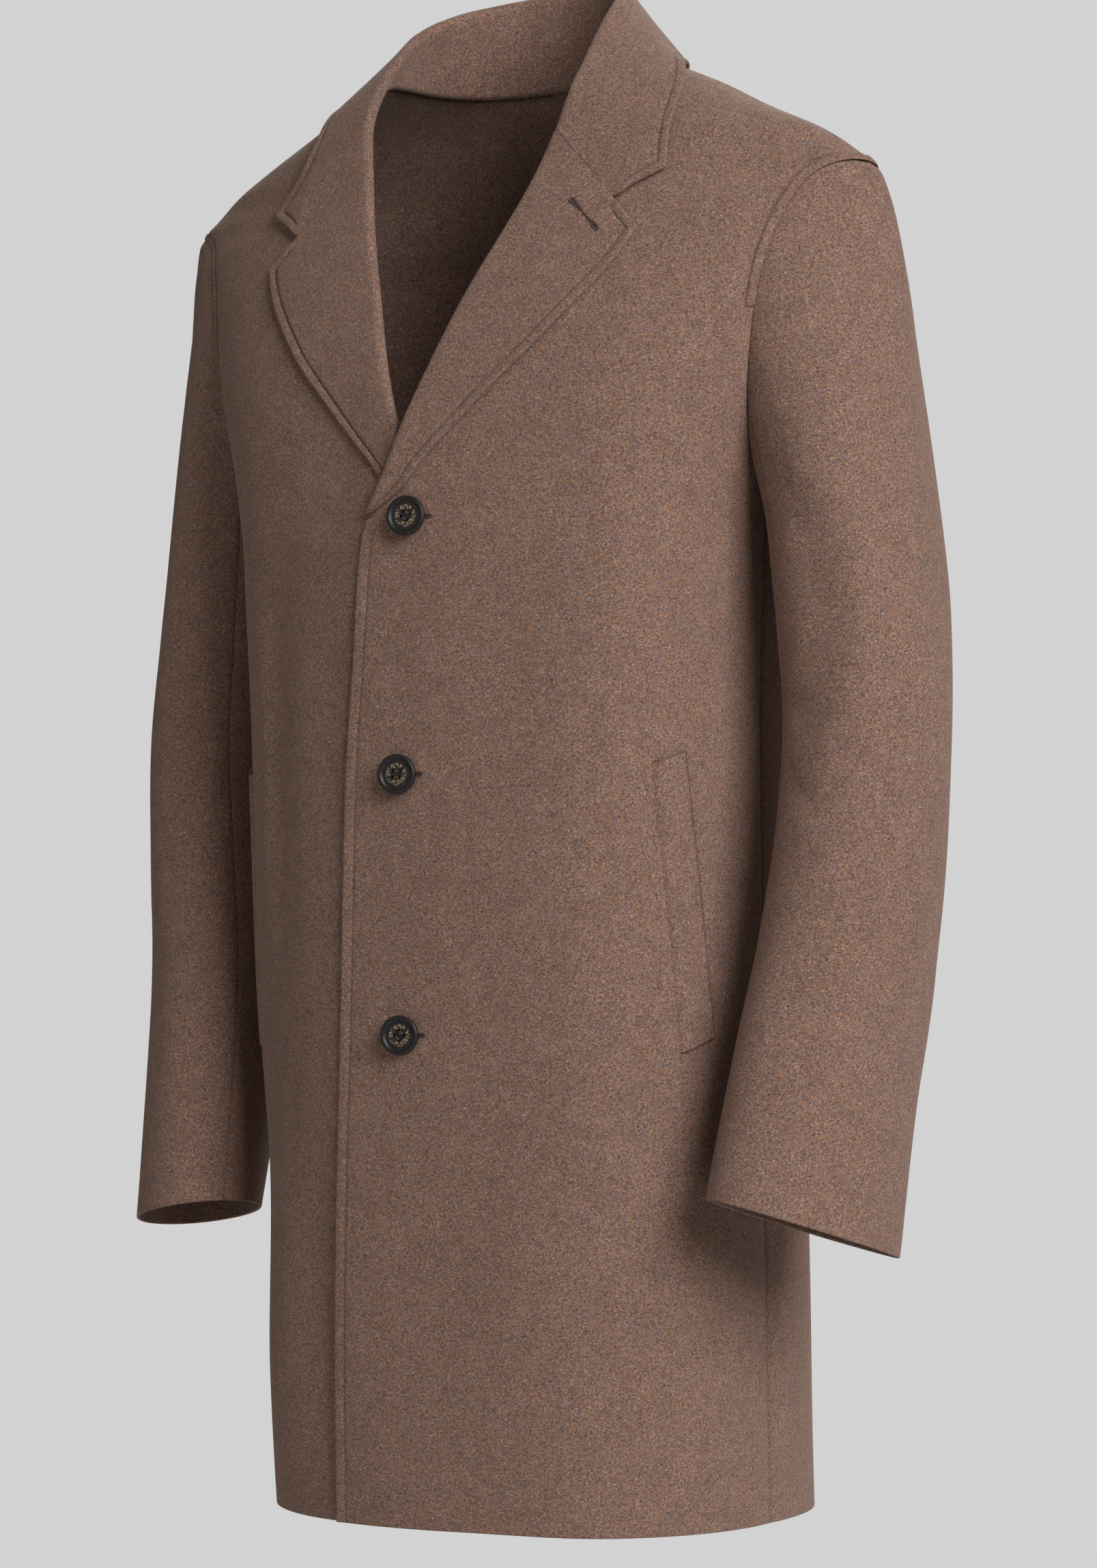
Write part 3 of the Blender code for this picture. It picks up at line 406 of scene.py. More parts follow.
# Lights round the coat
# Columns: name, azimuth, elevation, distance, size, power
LIGHTS = (
    ("key", 66.0, 24.0, 4.2, 2.5, 188.0),
    ("fill", -25.0, 10.0, 4.0, 2.4, 18.0),
    ("back", 205.0, 40.0, 3.6, 2.0, 75.0),
)
AMBIENT = (0.130, 0.123, 0.109, 1.0)
LIGHT_TARGET = (0.0, 0.02, -0.42)
FLOOR_Z = -1.50
FLOOR_RADIUS, FLOOR_SEGMENTS = 2.1, 96


def lerp(start, end, share):
    """Straight blend from start to end."""
    return start + (end - start) * share


def smoothstep(start, end, value):
    """Soft 0 to 1 ramp as value goes from start to end."""
    share = np.clip((value - start) / (end - start), 0.0, 1.0)
    return share * share * (3 - 2 * share)


def unit(vectors):
    """Vectors of length one."""
    return vectors / np.maximum(np.linalg.norm(vectors, axis=-1, keepdims=True), TINY)


def curve_value(rows, key, column):
    """Smooth values of one column at the keys, where the rows rise in their first column."""
    table = np.array(rows, float)
    keys, values = table[:, 0], table[:, column]
    secants = np.diff(values) / np.diff(keys)
    before, after = secants[:-1], secants[1:]
    same_way = before * after > 0
    mean = np.where(same_way, 2 * before * after / np.where(same_way, before + after, 1.0), 0.0)
    slopes = np.concatenate((secants[:1], mean, secants[-1:]))
    key = np.asarray(key, float)
    i = np.clip(np.searchsorted(keys, key, side="right") - 1, 0, len(keys) - 2)
    run = keys[i + 1] - keys[i]
    t = (key - keys[i]) / run
    ease = t * t * (3 - 2 * t)
    return (values[i] + (values[i + 1] - values[i]) * ease + t * (1 - t) ** 2 * run * slopes[i]
            - t * t * (1 - t) * run * slopes[i + 1])


def column_slope(rows, key, column):
    """Slope of one column of a table at a key."""
    return (curve_value(rows, key + STEP, column) - curve_value(rows, key - STEP, column)) / (2 * STEP)


def body_size(z):
    """Named sizes of the body form at each height, with a width evened out over the shoulder tip."""
    size = {name: curve_value(BODY_SECTIONS, z, i) for i, name in enumerate(BODY_COLUMNS) if i}
    spread = TIP_SPREAD * (1 - smoothstep(TIP_SPREAD, TIP_END, np.abs(z - ARM_TOP_Z)))
    around = curve_value(BODY_SECTIONS, z - spread, 1) + curve_value(BODY_SECTIONS, z + spread, 1)
    size["even_width"] = (size["half_width"] + around) / 3
    return size


def body_point(angle, z):
    """Points of the body form: angle 0 is the front, a quarter turn the left side."""
    angle, z = np.broadcast_arrays(np.asarray(angle, float), np.asarray(z, float))
    size = body_size(z)
    across, along = np.sin(angle), np.cos(angle)
    ahead = along >= 0
    depth = np.where(ahead, size["side_y"] - size["front_y"], size["back_y"] - size["side_y"])
    power = np.where(ahead, size["front_power"], size["back_power"])
    reach = (np.abs(across) ** power + np.abs(along) ** power) ** (-1 / power)
    at_side = smoothstep(TIP_SINE, 1.0, np.abs(across))
    width = lerp(size["even_width"], size["half_width"], at_side)
    return np.stack((width * reach * across, size["side_y"] - depth * reach * along, z), -1)


def body_normal(angle, z):
    """Outward normals of the body form."""
    along_ring = body_point(angle + STEP, z) - body_point(angle - STEP, z)
    up = body_point(angle, z + STEP) - body_point(angle, z - STEP)
    return unit(np.cross(along_ring, up))


def front_angle(x, z):
    """Body angle of the front points at x."""
    size = body_size(np.asarray(z, float))
    power = size["front_power"]
    share = np.minimum(1.0, np.abs(x) / size["even_width"])
    return np.copysign(np.arctan2(share, (1 - share ** power) ** (1 / power)), x)


def panel_offset(side, x, z):
    """How far a front lies off the body form: the right one dips under the left one."""
    crossing = 1 - smoothstep(0.0, CROSSING_REACH, np.abs(z - CROSSING_Z))
    if side > 0:
        return LEFT_LIFT * crossing * smoothstep(LIFT_START_X, LIFT_FULL_X, x)
    depth = UNDERLAP_DEPTH + CROSSING_DEPTH * crossing
    below_neck = smoothstep(UNDERLAP_TOP_Z, UNDERLAP_FULL_Z, z)
    return -depth * below_neck * smoothstep(UNDERLAP_START_X, UNDERLAP_FULL_X, x)


def front_keel(x, z):
    """How the buttoned fronts stand out along the front edge and fall away beside it."""
    from_edge = x - curve_value(FRONT_EDGE, np.clip(z, HEM_Z, EDGE_TOP_Z), 1)
    run = np.hypot(from_edge, KEEL_ROUND) - KEEL_ROUND
    left = (KEEL_RISE - KEEL_LEFT_SLOPE * run) * (1 - smoothstep(*KEEL_LEFT_FADE, run))
    right_slope = KEEL_RIGHT_SLOPE * smoothstep(KEEL_LOW_Z, KEEL_EVEN_Z, z)
    right = (KEEL_RISE - right_slope * run) * (1 - smoothstep(*KEEL_RIGHT_FADE, run))
    return smoothstep(KEEL_TOP_Z, KEEL_FULL_Z, z) * np.where(from_edge > 0, left, right)


def front_point(side, angle, z, rise=0.0):
    """Points of the left (+1) or right (-1) front, moved out by rise."""
    base = body_point(angle, z)
    x, heights = base[..., 0], base[..., 2]
    offset = panel_offset(side, x, heights) + front_keel(x, heights) + rise
    return base + body_normal(angle, z) * np.asarray(offset)[..., None]


def armhole_loop(step, is_back):
    """Body angle and height of the left armhole's steps, from the underarm up."""
    turn = np.pi * np.asarray(step, float) / ARM_STEPS
    level = -np.cos(turn)
    z = lerp(ARM_BOTTOM_Z, ARM_TOP_Z, (level + 1) / 2)
    front = ARM_FRONT_MEAN + ARM_FRONT_SLOPE * level
    back = ARM_BACK_MEAN + ARM_BACK_SLOPE * level
    width = np.maximum(0.0, np.sin(turn)) ** ARM_ROUNDNESS * np.where(is_back, back, front)
    return np.where(is_back, SIDE + width, SIDE - width), z


ARM_TOP, ARM_BOTTOM = body_point(SIDE, ARM_TOP_Z), body_point(SIDE, ARM_BOTTOM_Z)
ARM_CENTRE = (ARM_TOP + ARM_BOTTOM) / 2
ARM_RISE = unit(ARM_TOP - ARM_BOTTOM)
ARM_NORMAL = np.array((ARM_RISE[2], 0.0, -ARM_RISE[0]))


def neck_angle(z):
    """Body angle of the front neckline above the gorge."""
    roll = curve_value(ROLL_LINE, GORGE_Z, 1)
    first = math.degrees(front_angle(roll + LAPEL_ROWS[-1][3] + SEAM_GAP, GORGE_Z))
    line = [(GORGE_Z, first)] + [(row[1], row[0]) for row in COLLAR_STATIONS if row[0] < 90]
    line.append((NECK_Z, 90.0))
    return np.radians(curve_value(line, z, 1))


def front_edge_angle(z):
    """Body angle of a front's free edge: front edge, roll line, then neckline."""
    strip = curve_value([(row[0], row[3]) for row in LAPEL_ROWS], z, 1) + SEAM_GAP + HALF_GAP
    roll = curve_value(ROLL_LINE, z, 1) + strip * np.hypot(1, column_slope(ROLL_LINE, z, 1))
    edge = curve_value(FRONT_EDGE, np.minimum(z, EDGE_TOP_Z), 1)
    x = lerp(edge, roll, np.clip((z - EDGE_TOP_Z) / (ROLL_START_Z - EDGE_TOP_Z), 0.0, 1.0))
    below = np.minimum(z, GORGE_Z)
    return np.where(z >= GORGE_Z, neck_angle(np.maximum(z, GORGE_Z)), front_angle(x, below))


def edge_lines(inset=None):
    """Distances of the grid lines near an edge, close together at the edge and at its stitching."""
    lines = list(EDGE_STEPS)
    if inset:
        lines = [d for d in lines if d < inset + GROOVE_STEPS[0]] + [inset + d for d in GROOVE_STEPS]
    return np.array(lines)


def grid_lines(length, first, last, count):
    """Distances along a line: close ones at both ends and even ones between."""
    scale = min(1.0, LINE_SHARE * length / (first[-1] + last[-1]))
    start, end = first * scale, length - last[::-1] * scale
    middle = np.linspace(start[-1], end[0], count + 2)[1:-1]
    return np.concatenate((start, middle, end))


def run_lengths(points, axis):
    """Length along the grid lines of one axis, from their first points."""
    steps = np.linalg.norm(np.diff(points, axis=axis), axis=-1)
    return np.insert(np.cumsum(steps, axis=axis), 0, 0.0, axis=axis)


def distances(points):
    """Distances of a grid's points from its first and last columns, then from its first and last rows."""
    across, up = run_lengths(points, 1), run_lengths(points, 0)
    return across, across[:, -1:] - across, up, up[-1:] - up


def along_line(places, run, line):
    """Points of a line at distances along it."""
    return np.stack([np.interp(places, run, line[:, k]) for k in range(3)], -1)


def resample(points, axis, first, last, count):
    """The same sheet with new grid lines along one axis, set by distance from its ends."""
    lines = np.moveaxis(points, axis, 1)
    runs = run_lengths(lines, 1)
    out = [along_line(grid_lines(run[-1], first, last, count), run, line) for run, line in zip(runs, lines)]
    return np.moveaxis(np.array(out), 1, axis)


def grid_normals(points):
    """Normals of a grid of points from its two directions."""
    return unit(np.cross(np.gradient(points, axis=1), np.gradient(points, axis=0)))


def path_distance(points, path):
    """Distance of each point from a path, and the share of the path where it is nearest."""
    flat = points.reshape(-1, 3)
    best = np.full(len(flat), np.inf)
    share = np.zeros(len(flat))
    for i in range(len(path) - 1):
        span = path[i + 1] - path[i]
        t = np.clip((flat - path[i]) @ span / max(span @ span, TINY), 0.0, 1.0)
        gap = np.linalg.norm(flat - path[i] - t[:, None] * span, axis=1)
        nearer = gap < best
        best = np.where(nearer, gap, best)
        share = np.where(nearer, (i + t) / (len(path) - 1), share)
    return best.reshape(points.shape[:-1]), share.reshape(points.shape[:-1])


def crease(points, path, width, height):
    """Soft ridge or trough along a path, dying out at both ends."""
    gap, share = path_distance(points, path)
    taper = np.maximum(np.sin(np.pi * share), 0.0) ** CREASE_TAPER
    return height * taper * np.exp(-(gap / width) ** 2)


def bowed(start, middle, end):
    """Shares of a curve through three values."""
    t = np.linspace(0, 1, CREASE_POINTS)
    return start * (1 - t) * (1 - 2 * t) + middle * 4 * t * (1 - t) + end * t * (2 * t - 1)


def unevenness(points):
    """Low waves all over the cloth."""
    total = np.zeros(points.shape[:-1])
    for per_x, per_y, per_z, phase, height in WAVES:
        turns = points @ np.array((per_x, per_y, per_z))
        total += height * np.sin(2 * np.pi * turns + phase)
    return total


def groove(distance, inset):
    """Depth share of a pressed stitch line at one distance from an edge."""
    return np.exp(-((distance - inset) / GROOVE_HALF_WIDTH) ** 2)


def edge_turn(borders):
    """How far both skins turn in near the borders, given as distance and radius pairs."""
    turns = []
    for distance, radius in borders:
        inside = radius - np.minimum(distance, radius)
        turns.append(EDGE_ROUNDNESS * (radius - np.sqrt(np.maximum(radius ** 2 - inside ** 2, 0.0))))
    return np.maximum.reduce(turns)


def put(name, data):
    """New object in the scene."""
    made = bpy.data.objects.new(name, data)
    bpy.context.scene.collection.objects.link(made)
    return made


def put_shape(name, shape):
    """New object from an edit mesh, which is freed."""
    mesh = bpy.data.meshes.new(name)
    shape.to_mesh(mesh)
    shape.free()
    return put(name, mesh)


def new_piece(name, mesh, material, place=Matrix()):
    """Object in the scene that moves with the coat."""
    mesh.materials.append(material)
    piece = put(name, mesh)
    piece.matrix_world = place
    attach(piece, "root")
    return piece


def smooth_mesh(name, points, faces):
    """Smooth mesh from points and faces."""
    mesh = bpy.data.meshes.new(name)
    mesh.from_pydata(points.tolist(), [], faces)
    mesh.shade_smooth()
    return mesh


def add_cloth(name, base, normal, wall, lift, shift, press_shade, borders):
    """Closed cloth shell for one solid, darker with painted shade and pressing along its grooves and seams;
    returns its outer points.
    """
    turn_in = edge_turn(borders)
    outer = base + normal * (shift + lift - turn_in)[..., None]
    inner = base + normal * (shift - wall + turn_in)[..., None]
    rows, cols = base.shape[:2]
    index = np.arange(rows * cols).reshape(rows, cols)
    quads = np.stack((index[:-1, :-1], index[:-1, 1:], index[1:, 1:], index[1:, :-1]), -1).reshape(-1, 4)
    rim = np.concatenate((index[0, :-1], index[:-1, -1], index[-1, :0:-1], index[:0:-1, 0]))
    after = np.roll(rim, -1)
    walls = np.stack((after, rim, rim + index.size, after + index.size), -1)
    faces = np.concatenate((quads, quads[:, ::-1] + index.size, walls))
    if np.cross(base[0, 1] - base[0, 0], base[1, 0] - base[0, 0]) @ normal[0, 0] < 0:
        faces = faces[:, ::-1]
    points = np.concatenate((outer.reshape(-1, 3), inner.reshape(-1, 3)))
    mesh = smooth_mesh("cloth_" + name, points, faces.tolist())
    # Darkening per point: pressed cloth together with painted shade in grooves and seams
    press_shade_attribute = mesh.attributes.new(PRESS_SHADE_NAME, "FLOAT", "POINT")
    press_shade_attribute.data.foreach_set("value", np.concatenate((press_shade.ravel(), np.zeros(press_shade.size))))
    piece = new_piece("cloth_" + name, mesh, WOOL)
    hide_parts(name)
    return outer


def panel_rows(is_back):
    """Heights of a panel's rows, which of them lie beside the armhole, and the rows' side angles."""
    hem = HEM_Z + edge_lines()
    skirt_count = int((ARM_BOTTOM_Z - hem[-1]) / CLOTH_STEP)
    below = np.concatenate((hem, np.linspace(hem[-1], ARM_BOTTOM_Z, skirt_count + 1)[1:-1]))
    bar_level = 2 * (ARM_STITCH_END_Z - ARM_BOTTOM_Z) / (ARM_TOP_Z - ARM_BOTTOM_Z) - 1
    bar = ARM_STEPS * math.acos(-bar_level) / math.pi + np.array(BAR_STEPS)
    steps = np.sort(np.concatenate((np.linspace(0, ARM_STEPS, ARM_FINE_ROWS + 1), bar)))
    arm_angle, arm_z = armhole_loop(steps, is_back)
    tip = ARM_TOP_Z + np.array(SHOULDER_STEPS)
    above = np.concatenate((tip, np.linspace(tip[-1], NECK_Z - NECK_END, SHOULDER_ROWS + 1)[1:]))
    beside_arm = np.repeat((False, True, False), (len(below), len(steps), len(above)))
    side_angle = np.full(len(beside_arm), SIDE)
    side_angle[beside_arm] = arm_angle
    return np.concatenate((below, arm_z, above)), beside_arm[:, None], side_angle


def panel_grid(z, start, end, first, last, point):
    """Angles and heights of a panel's grid, with lines set by distance from its side edges."""
    trial = start[:, None] + (end - start)[:, None] * np.linspace(0, 1, FIND_STEPS)
    runs = run_lengths(point(trial, z[:, None]), 1)
    near = len(first) + len(last)
    count = int(runs[:, -1].max() / CLOTH_STEP) - near // 2
    rows = [np.interp(grid_lines(run[-1], first, last, count), run, row) for run, row in zip(runs, trial)]
    return np.array(rows), np.repeat(z[:, None], count + near, 1)


def armhole_path(side, is_back):
    """Seam line of one half of an armhole on the body form."""
    angle, z = armhole_loop(np.linspace(0, ARM_STEPS, ARM_PATH_POINTS), is_back)
    return body_point(angle, z) * (side, 1, 1)


def armhole_lift(points, side, is_back):
    """Lift and groove of the armhole's stitched body edge, with its darkening of pressed cloth and painted
    shade, from the shoulder to its end bar.
    """
    gap = path_distance(points, armhole_path(side, is_back))[0]
    above_bar = points[..., 2] - ARM_STITCH_END_Z
    stitched = smoothstep(-ARM_STITCH_FADE, ARM_STITCH_FADE, above_bar)
    band = 1 - smoothstep(*ARM_BAND, gap)
    line = np.maximum(stitched * groove(gap, ARM_INSET), band * groove(above_bar, 0.0))
    rise = lerp(LEDGE_RISE, TIP_LEDGE_RISE[side], smoothstep(*TIP_LEDGE_Z, points[..., 2]))
    return rise * stitched * band - GROOVE_DEPTH * line, line


def seam_dip(distance):
    """Share by which cloth is drawn in at a seam."""
    return np.exp(-(distance / SEAM_REACH) ** 2)


def folds(owner, table, base, to_point):
    """Low waves of the cloth with the folds that a table gives to one piece or side."""
    shift = unevenness(base)
    for row_owner, *path, width, height in table:
        if row_owner == owner:
            line = to_point(bowed(*path[::2]), bowed(*path[1::2]))
            shift = shift + crease(base, line, width, height)
    return shift


def front_folds(side, base):
    """Folds of a front, for itself or for a welt that lies on it."""
    return folds("front_" + SIDE_NAMES[side], BODY_CREASES, base,
                 lambda x, z: front_point(side, front_angle(x, z), z))


def welt_edge(side, column, rise=0.0):
    """Front (0) or rear (1) edge of a welt on its front, from top to bottom."""
    top, bottom = WELT_CORNERS[column], WELT_CORNERS[3 - column]
    share = np.linspace(0, 1, CREASE_POINTS)
    angle = np.radians(lerp(top[0], bottom[0], share))
    return front_point(side, side * angle, lerp(top[1], bottom[1], share), rise)


def front(side):
    """Left (+1) or right (-1) front; returns its edge and armhole stitch lines, outer points and normals."""
    z, beside_arm, side_angle = panel_rows(False)
    near_edge, near_arm = edge_lines(FRONT_INSET), edge_lines(ARM_INSET)
    angle, heights = panel_grid(z, front_edge_angle(z), side_angle, near_edge, near_arm,
                                lambda a, h: front_point(side, side * a, h))
    base = front_point(side, side * angle, heights)
    normal = body_normal(side * angle, heights)
    from_edge, from_end, up, from_top = distances(base)
    free = 1 - smoothstep(EDGE_TOP_Z - FREE_FADE, EDGE_TOP_Z, heights)
    stitched = free * groove(from_edge, FRONT_INSET)
    seam = np.where(beside_arm, 0.0, seam_dip(from_end))
    arm_lift, arm_press_shade = armhole_lift(base, side, False)
    lift = free * EDGE_PUFF * (1 - smoothstep(0, FRONT_INSET, from_edge)) - FRONT_GROOVE_DEPTH * stitched
    lift += arm_lift - SEAM_DIP * seam
    lift += crease(base, welt_edge(side, 1), WELT_MOUTH_WIDTH, -WELT_MOUTH_DEPTH)
    # Darkening of stitch lines, armhole edge and seams: pressed cloth with painted shade
    press_shade = np.maximum.reduce((FRONT_PRESS_SHADE * stitched, arm_press_shade, SEAM_PRESS_SHADE * seam))
    calm = smoothstep(0.0, CALM_EDGE, from_edge) * smoothstep(0.0, CALM_SEAM, from_end)
    half = PANEL_WALL / 2
    borders = ((from_edge, half), (up, half), (from_end, SEAM_ROUND), (from_top, SEAM_ROUND))
    outer = add_cloth("front_" + SIDE_NAMES[side], base, normal, PANEL_WALL, lift,
                      front_folds(side, base) * calm, press_shade, borders)
    below = z < EDGE_TOP_Z - STITCH_STOP
    edge_line = line_at(outer[below], from_edge[below], FRONT_INSET)
    return edge_line, arm_stitch(outer, base, side, False), outer, normal


def back():
    """Back from side seam to side seam, with both armholes; returns their stitch lines."""
    z, beside_arm, side_angle = panel_rows(True)
    z[-1] = NECK_Z
    lines = edge_lines(ARM_INSET)
    angle, heights = panel_grid(z, side_angle, 2 * math.pi - side_angle, lines, lines, body_point)
    base = body_point(angle, heights)
    normal = body_normal(angle, heights)
    from_left, from_right, up, from_top = distances(base)
    to_seam = np.minimum(from_left, from_right)
    seam = np.where(beside_arm, 0.0, seam_dip(to_seam))
    # Seams are drawn in and darkened: pressed cloth with painted shade
    lift, press_shade = -SEAM_DIP * seam, SEAM_PRESS_SHADE * seam
    for side in SIDE_NAMES:
        arm_lift, arm_press_shade = armhole_lift(base, side, True)
        lift, press_shade = lift + arm_lift, np.maximum(press_shade, arm_press_shade)
    shift = folds("back", BODY_CREASES, base, lambda a, h: body_point(np.radians(a), h))
    borders = ((up, PANEL_WALL / 2), (to_seam, SEAM_ROUND), (from_top, SEAM_ROUND))
    outer = add_cloth("back", base, normal, PANEL_WALL, lift, shift * smoothstep(0.0, CALM_SEAM, to_seam),
                      press_shade, borders)
    return [arm_stitch(outer, base, side, True) for side in SIDE_NAMES]


def line_at(outer, distance, inset):
    """Points on a shell at one distance from its first grid line, a point for each row."""
    return np.array([along_line(inset, run, row) for run, row in zip(distance, outer)])


def arm_stitch(outer, base, side, is_back):
    """Stitch line beside an armhole, from the shoulder to its end."""
    all_gaps = path_distance(base, armhole_path(side, is_back))[0]
    points = []
    for row, gaps, place in zip(outer, all_gaps, base):
        if ARM_STITCH_END_Z < place[0, 2] < ARM_TOP_Z - STITCH_STOP:
            middle = len(row) // 2
            half = slice(0, middle) if is_back and side > 0 else slice(middle, len(row))
            points.append(row[half][np.argmin(np.abs(gaps[half] - ARM_INSET))])
    return np.array(points)


def fold_arc(roll, out, top, radius):
    """Points round a fold, from the base's side over the top to the leaf's side."""
    return [roll + (top * math.sin(a) - out * math.cos(a)) * radius for a in ROLL_ARC]


def lapel_row(side, roll_z, shares):
    """Middle line of one lapel row: strip beside the front, roll, then out to the edge."""
    edge_x, edge_z, strip, radius = (float(curve_value(LAPEL_ROWS, roll_z, i)) for i in range(1, 5))
    roll_x = float(curve_value(ROLL_LINE, roll_z, 1))
    angle = side * front_angle(roll_x, roll_z)
    start = front_point(side, angle, roll_z)
    normal = body_normal(angle, roll_z)
    next_z = roll_z + STEP
    next_angle = side * front_angle(float(curve_value(ROLL_LINE, next_z, 1)), next_z)
    tangent = unit(front_point(side, next_angle, next_z) - start)
    outward = np.cross(tangent, normal) * side
    centre = start + normal * (radius - PANEL_WALL / 2)
    row = [start - normal * (PANEL_WALL / 2) + outward * strip]
    row += fold_arc(centre, normal, -outward, radius)
    x, z = lerp(roll_x, edge_x, shares), lerp(roll_z, edge_z, shares)
    rise = lerp(2 * radius - PANEL_WALL / 2, LAPEL_EDGE_RISE, smoothstep(0.0, 1.0, shares))
    return np.array(row + list(front_point(side, side * front_angle(x, z), z, rise)))


def turned_piece(name, middle, facing, notch_run, both_ends):
    """Lapel or collar round its middle points, stitched along its edge and its ends past the notch.

    Its face looks along facing in y. Returns its stitch line, outer points and normals.
    """
    normal = grid_normals(middle)
    normal = normal * np.sign(normal[len(normal) // 2, FACE_COLUMN, 1] * facing)
    across, from_edge, up, from_top = distances(middle)
    from_end = np.minimum(up, from_top) if both_ends else from_top
    past_notch = across > notch_run + STITCH_STOP
    border = np.minimum(from_edge, np.where(past_notch & (from_end < FREE_REACH), from_end, 1.0))
    # Stitch groove darkened: pressed cloth with painted shade
    press_shade = groove(border, TURNED_INSET)
    lift = EDGE_PUFF * (1 - smoothstep(0, TURNED_INSET, border)) - GROOVE_DEPTH * press_shade
    half = TURNED_WALL / 2
    base = middle + normal * half
    shift = unevenness(base) * TURNED_WAVES * smoothstep(0.0, CALM_TURNED, np.minimum(from_edge, across))
    borders = [(from_edge, half), (from_end, np.where(across > notch_run, half, SEAM_ROUND))]
    borders += [(across, SEAM_ROUND)] if both_ends else [(across, half), (up, half)]
    outer = add_cloth(name, base, normal, TURNED_WALL, lift, shift, press_shade, borders)
    inside = from_end[:, -1] > TURNED_INSET
    edge = line_at(outer[inside, ::-1], from_edge[inside, ::-1], TURNED_INSET)
    row = 0 if both_ends else -1
    ending = past_notch[row] & (from_edge[row] > TURNED_INSET)
    columns, from_start, to_top = (np.swapaxes(grid[:, ending], 0, 1) for grid in (outer, up, from_top))
    lines = [edge, line_at(columns[:, ::-1], to_top[:, ::-1], TURNED_INSET)[::-1]]
    if both_ends:
        lines.insert(0, line_at(columns, from_start, TURNED_INSET))
    return np.concatenate(lines), outer, normal


def lapel(side):
    """Lapel turned back over its front; returns its stitch line, outer points and normals."""
    first = LAPEL_ROWS[0 if side > 0 else RIGHT_LAPEL_FIRST_ROW][0]
    heights = np.linspace(first, GORGE_Z, LAPEL_FIND_ROWS)
    rows = np.array([lapel_row(side, z, LAPEL_SPREAD) for z in heights])
    notch = len(ROLL_ARC) + 1 + int(np.argmin(np.abs(LAPEL_SPREAD - NOTCH_SHARE)))
    notch_run = run_lengths(rows, 1)[-1, notch]
    middle = rows
    for axis, count in zip((1, 0), LAPEL_GRID):
        middle = resample(middle, axis, edge_lines(), edge_lines(TURNED_INSET), count)
    side_name = SIDE_NAMES[side]
    return turned_piece("lapel_" + side_name, middle, -1, notch_run, False)


def collar_gorge(side):
    """First collar row: along the gorge to the notch, then out to the collar tip."""
    shares = np.array([share for share in LEAF_SPREAD if share <= NOTCH_SHARE])
    row = list(lapel_row(side, GORGE_Z, shares))
    row.insert(1, lerp(row[0], row[1], STAND_SPREAD[1]))
    seam = unit(row[-1] - row[-3])
    notch_x = lerp(float(curve_value(ROLL_LINE, GORGE_Z, 1)), LAPEL_ROWS[-1][1], NOTCH_SHARE)
    notch_z = lerp(GORGE_Z, LAPEL_ROWS[-1][2], NOTCH_SHARE)
    for share in LEAF_SPREAD[len(shares):]:
        out = (share - NOTCH_SHARE) / (1 - NOTCH_SHARE)
        x, z = lerp(notch_x, COLLAR_TIP[0], out), lerp(notch_z, COLLAR_TIP[1], out)
        row.append(front_point(side, side * front_angle(x, z), z, COLLAR_RISE))
    normal = body_normal(side * front_angle(LAPEL_ROWS[-1][1], GORGE_Z), GORGE_Z)
    shift = unit(np.cross(normal, seam)) * GORGE_GAP
    return np.array(row) + (shift if shift[2] > 0 else -shift)


def collar_half(side):
    """Middle lines of the collar rows from the gorge to the centre back on one side."""
    gorge = np.array((float(curve_value(ROLL_LINE, GORGE_Z, 1)), GORGE_ROLL_Y, GORGE_Z))
    rolls = [gorge] + [np.array(row[2:5]) for row in COLLAR_STATIONS]
    rolls.append(rolls[-2] * (-1, 1, 1))
    rows = [collar_gorge(side)]
    for i, (neck, neck_z, _, _, _, leaf_angle, leaf_z, leaf_lean) in enumerate(COLLAR_STATIONS):
        before, roll, after = rolls[i:i + 3]
        tangent = unit(after - before)
        leaf_turn = math.radians(leaf_angle + side * leaf_lean)
        leaf = body_point(leaf_turn, leaf_z) + body_normal(leaf_turn, leaf_z) * COLLAR_RISE
        edge, normal = body_point(math.radians(neck), neck_z), body_normal(math.radians(neck), neck_z)
        inward = unit(np.array((-edge[0], NECK_CENTRE_Y - edge[1], 0.0)))
        inward = unit(inward - normal * (inward @ normal))
        foot = edge + inward * (SEAM_GAP + TURNED_WALL / 2) - normal * (PANEL_WALL / 2)
        pull = unit(foot - roll) + unit(leaf - roll)
        top = -unit(pull - tangent * (pull @ tangent))
        out = unit(np.cross(tangent, top))
        out = out if out @ (leaf - foot) > 0 else -out
        arc = fold_arc(roll, out, top, COLLAR_ROLL_RADIUS)
        row = [lerp(foot, arc[0], share) for share in STAND_SPREAD] + arc
        bulge = (arc[-1] + leaf) / 2 + out * COLLAR_BULGE
        for share in LEAF_SPREAD:
            row.append(lerp(lerp(arc[-1], bulge, share), lerp(bulge, leaf, share), share))
        rows.append(np.array(row) * (side, 1, 1))
    return rows


def refine(points, axis, count):
    """The same sheet with smooth lines through its rows or columns."""
    lines = np.moveaxis(points, axis, 0)
    keys = np.linspace(0, len(lines) - 1, count)
    flat = lines.reshape(len(lines), -1)
    table = np.concatenate((np.arange(len(lines))[:, None], flat), 1)
    fine = np.stack([curve_value(table, keys, k + 1) for k in range(flat.shape[1])], -1)
    return np.moveaxis(fine.reshape(count, *lines.shape[1:]), 0, axis)


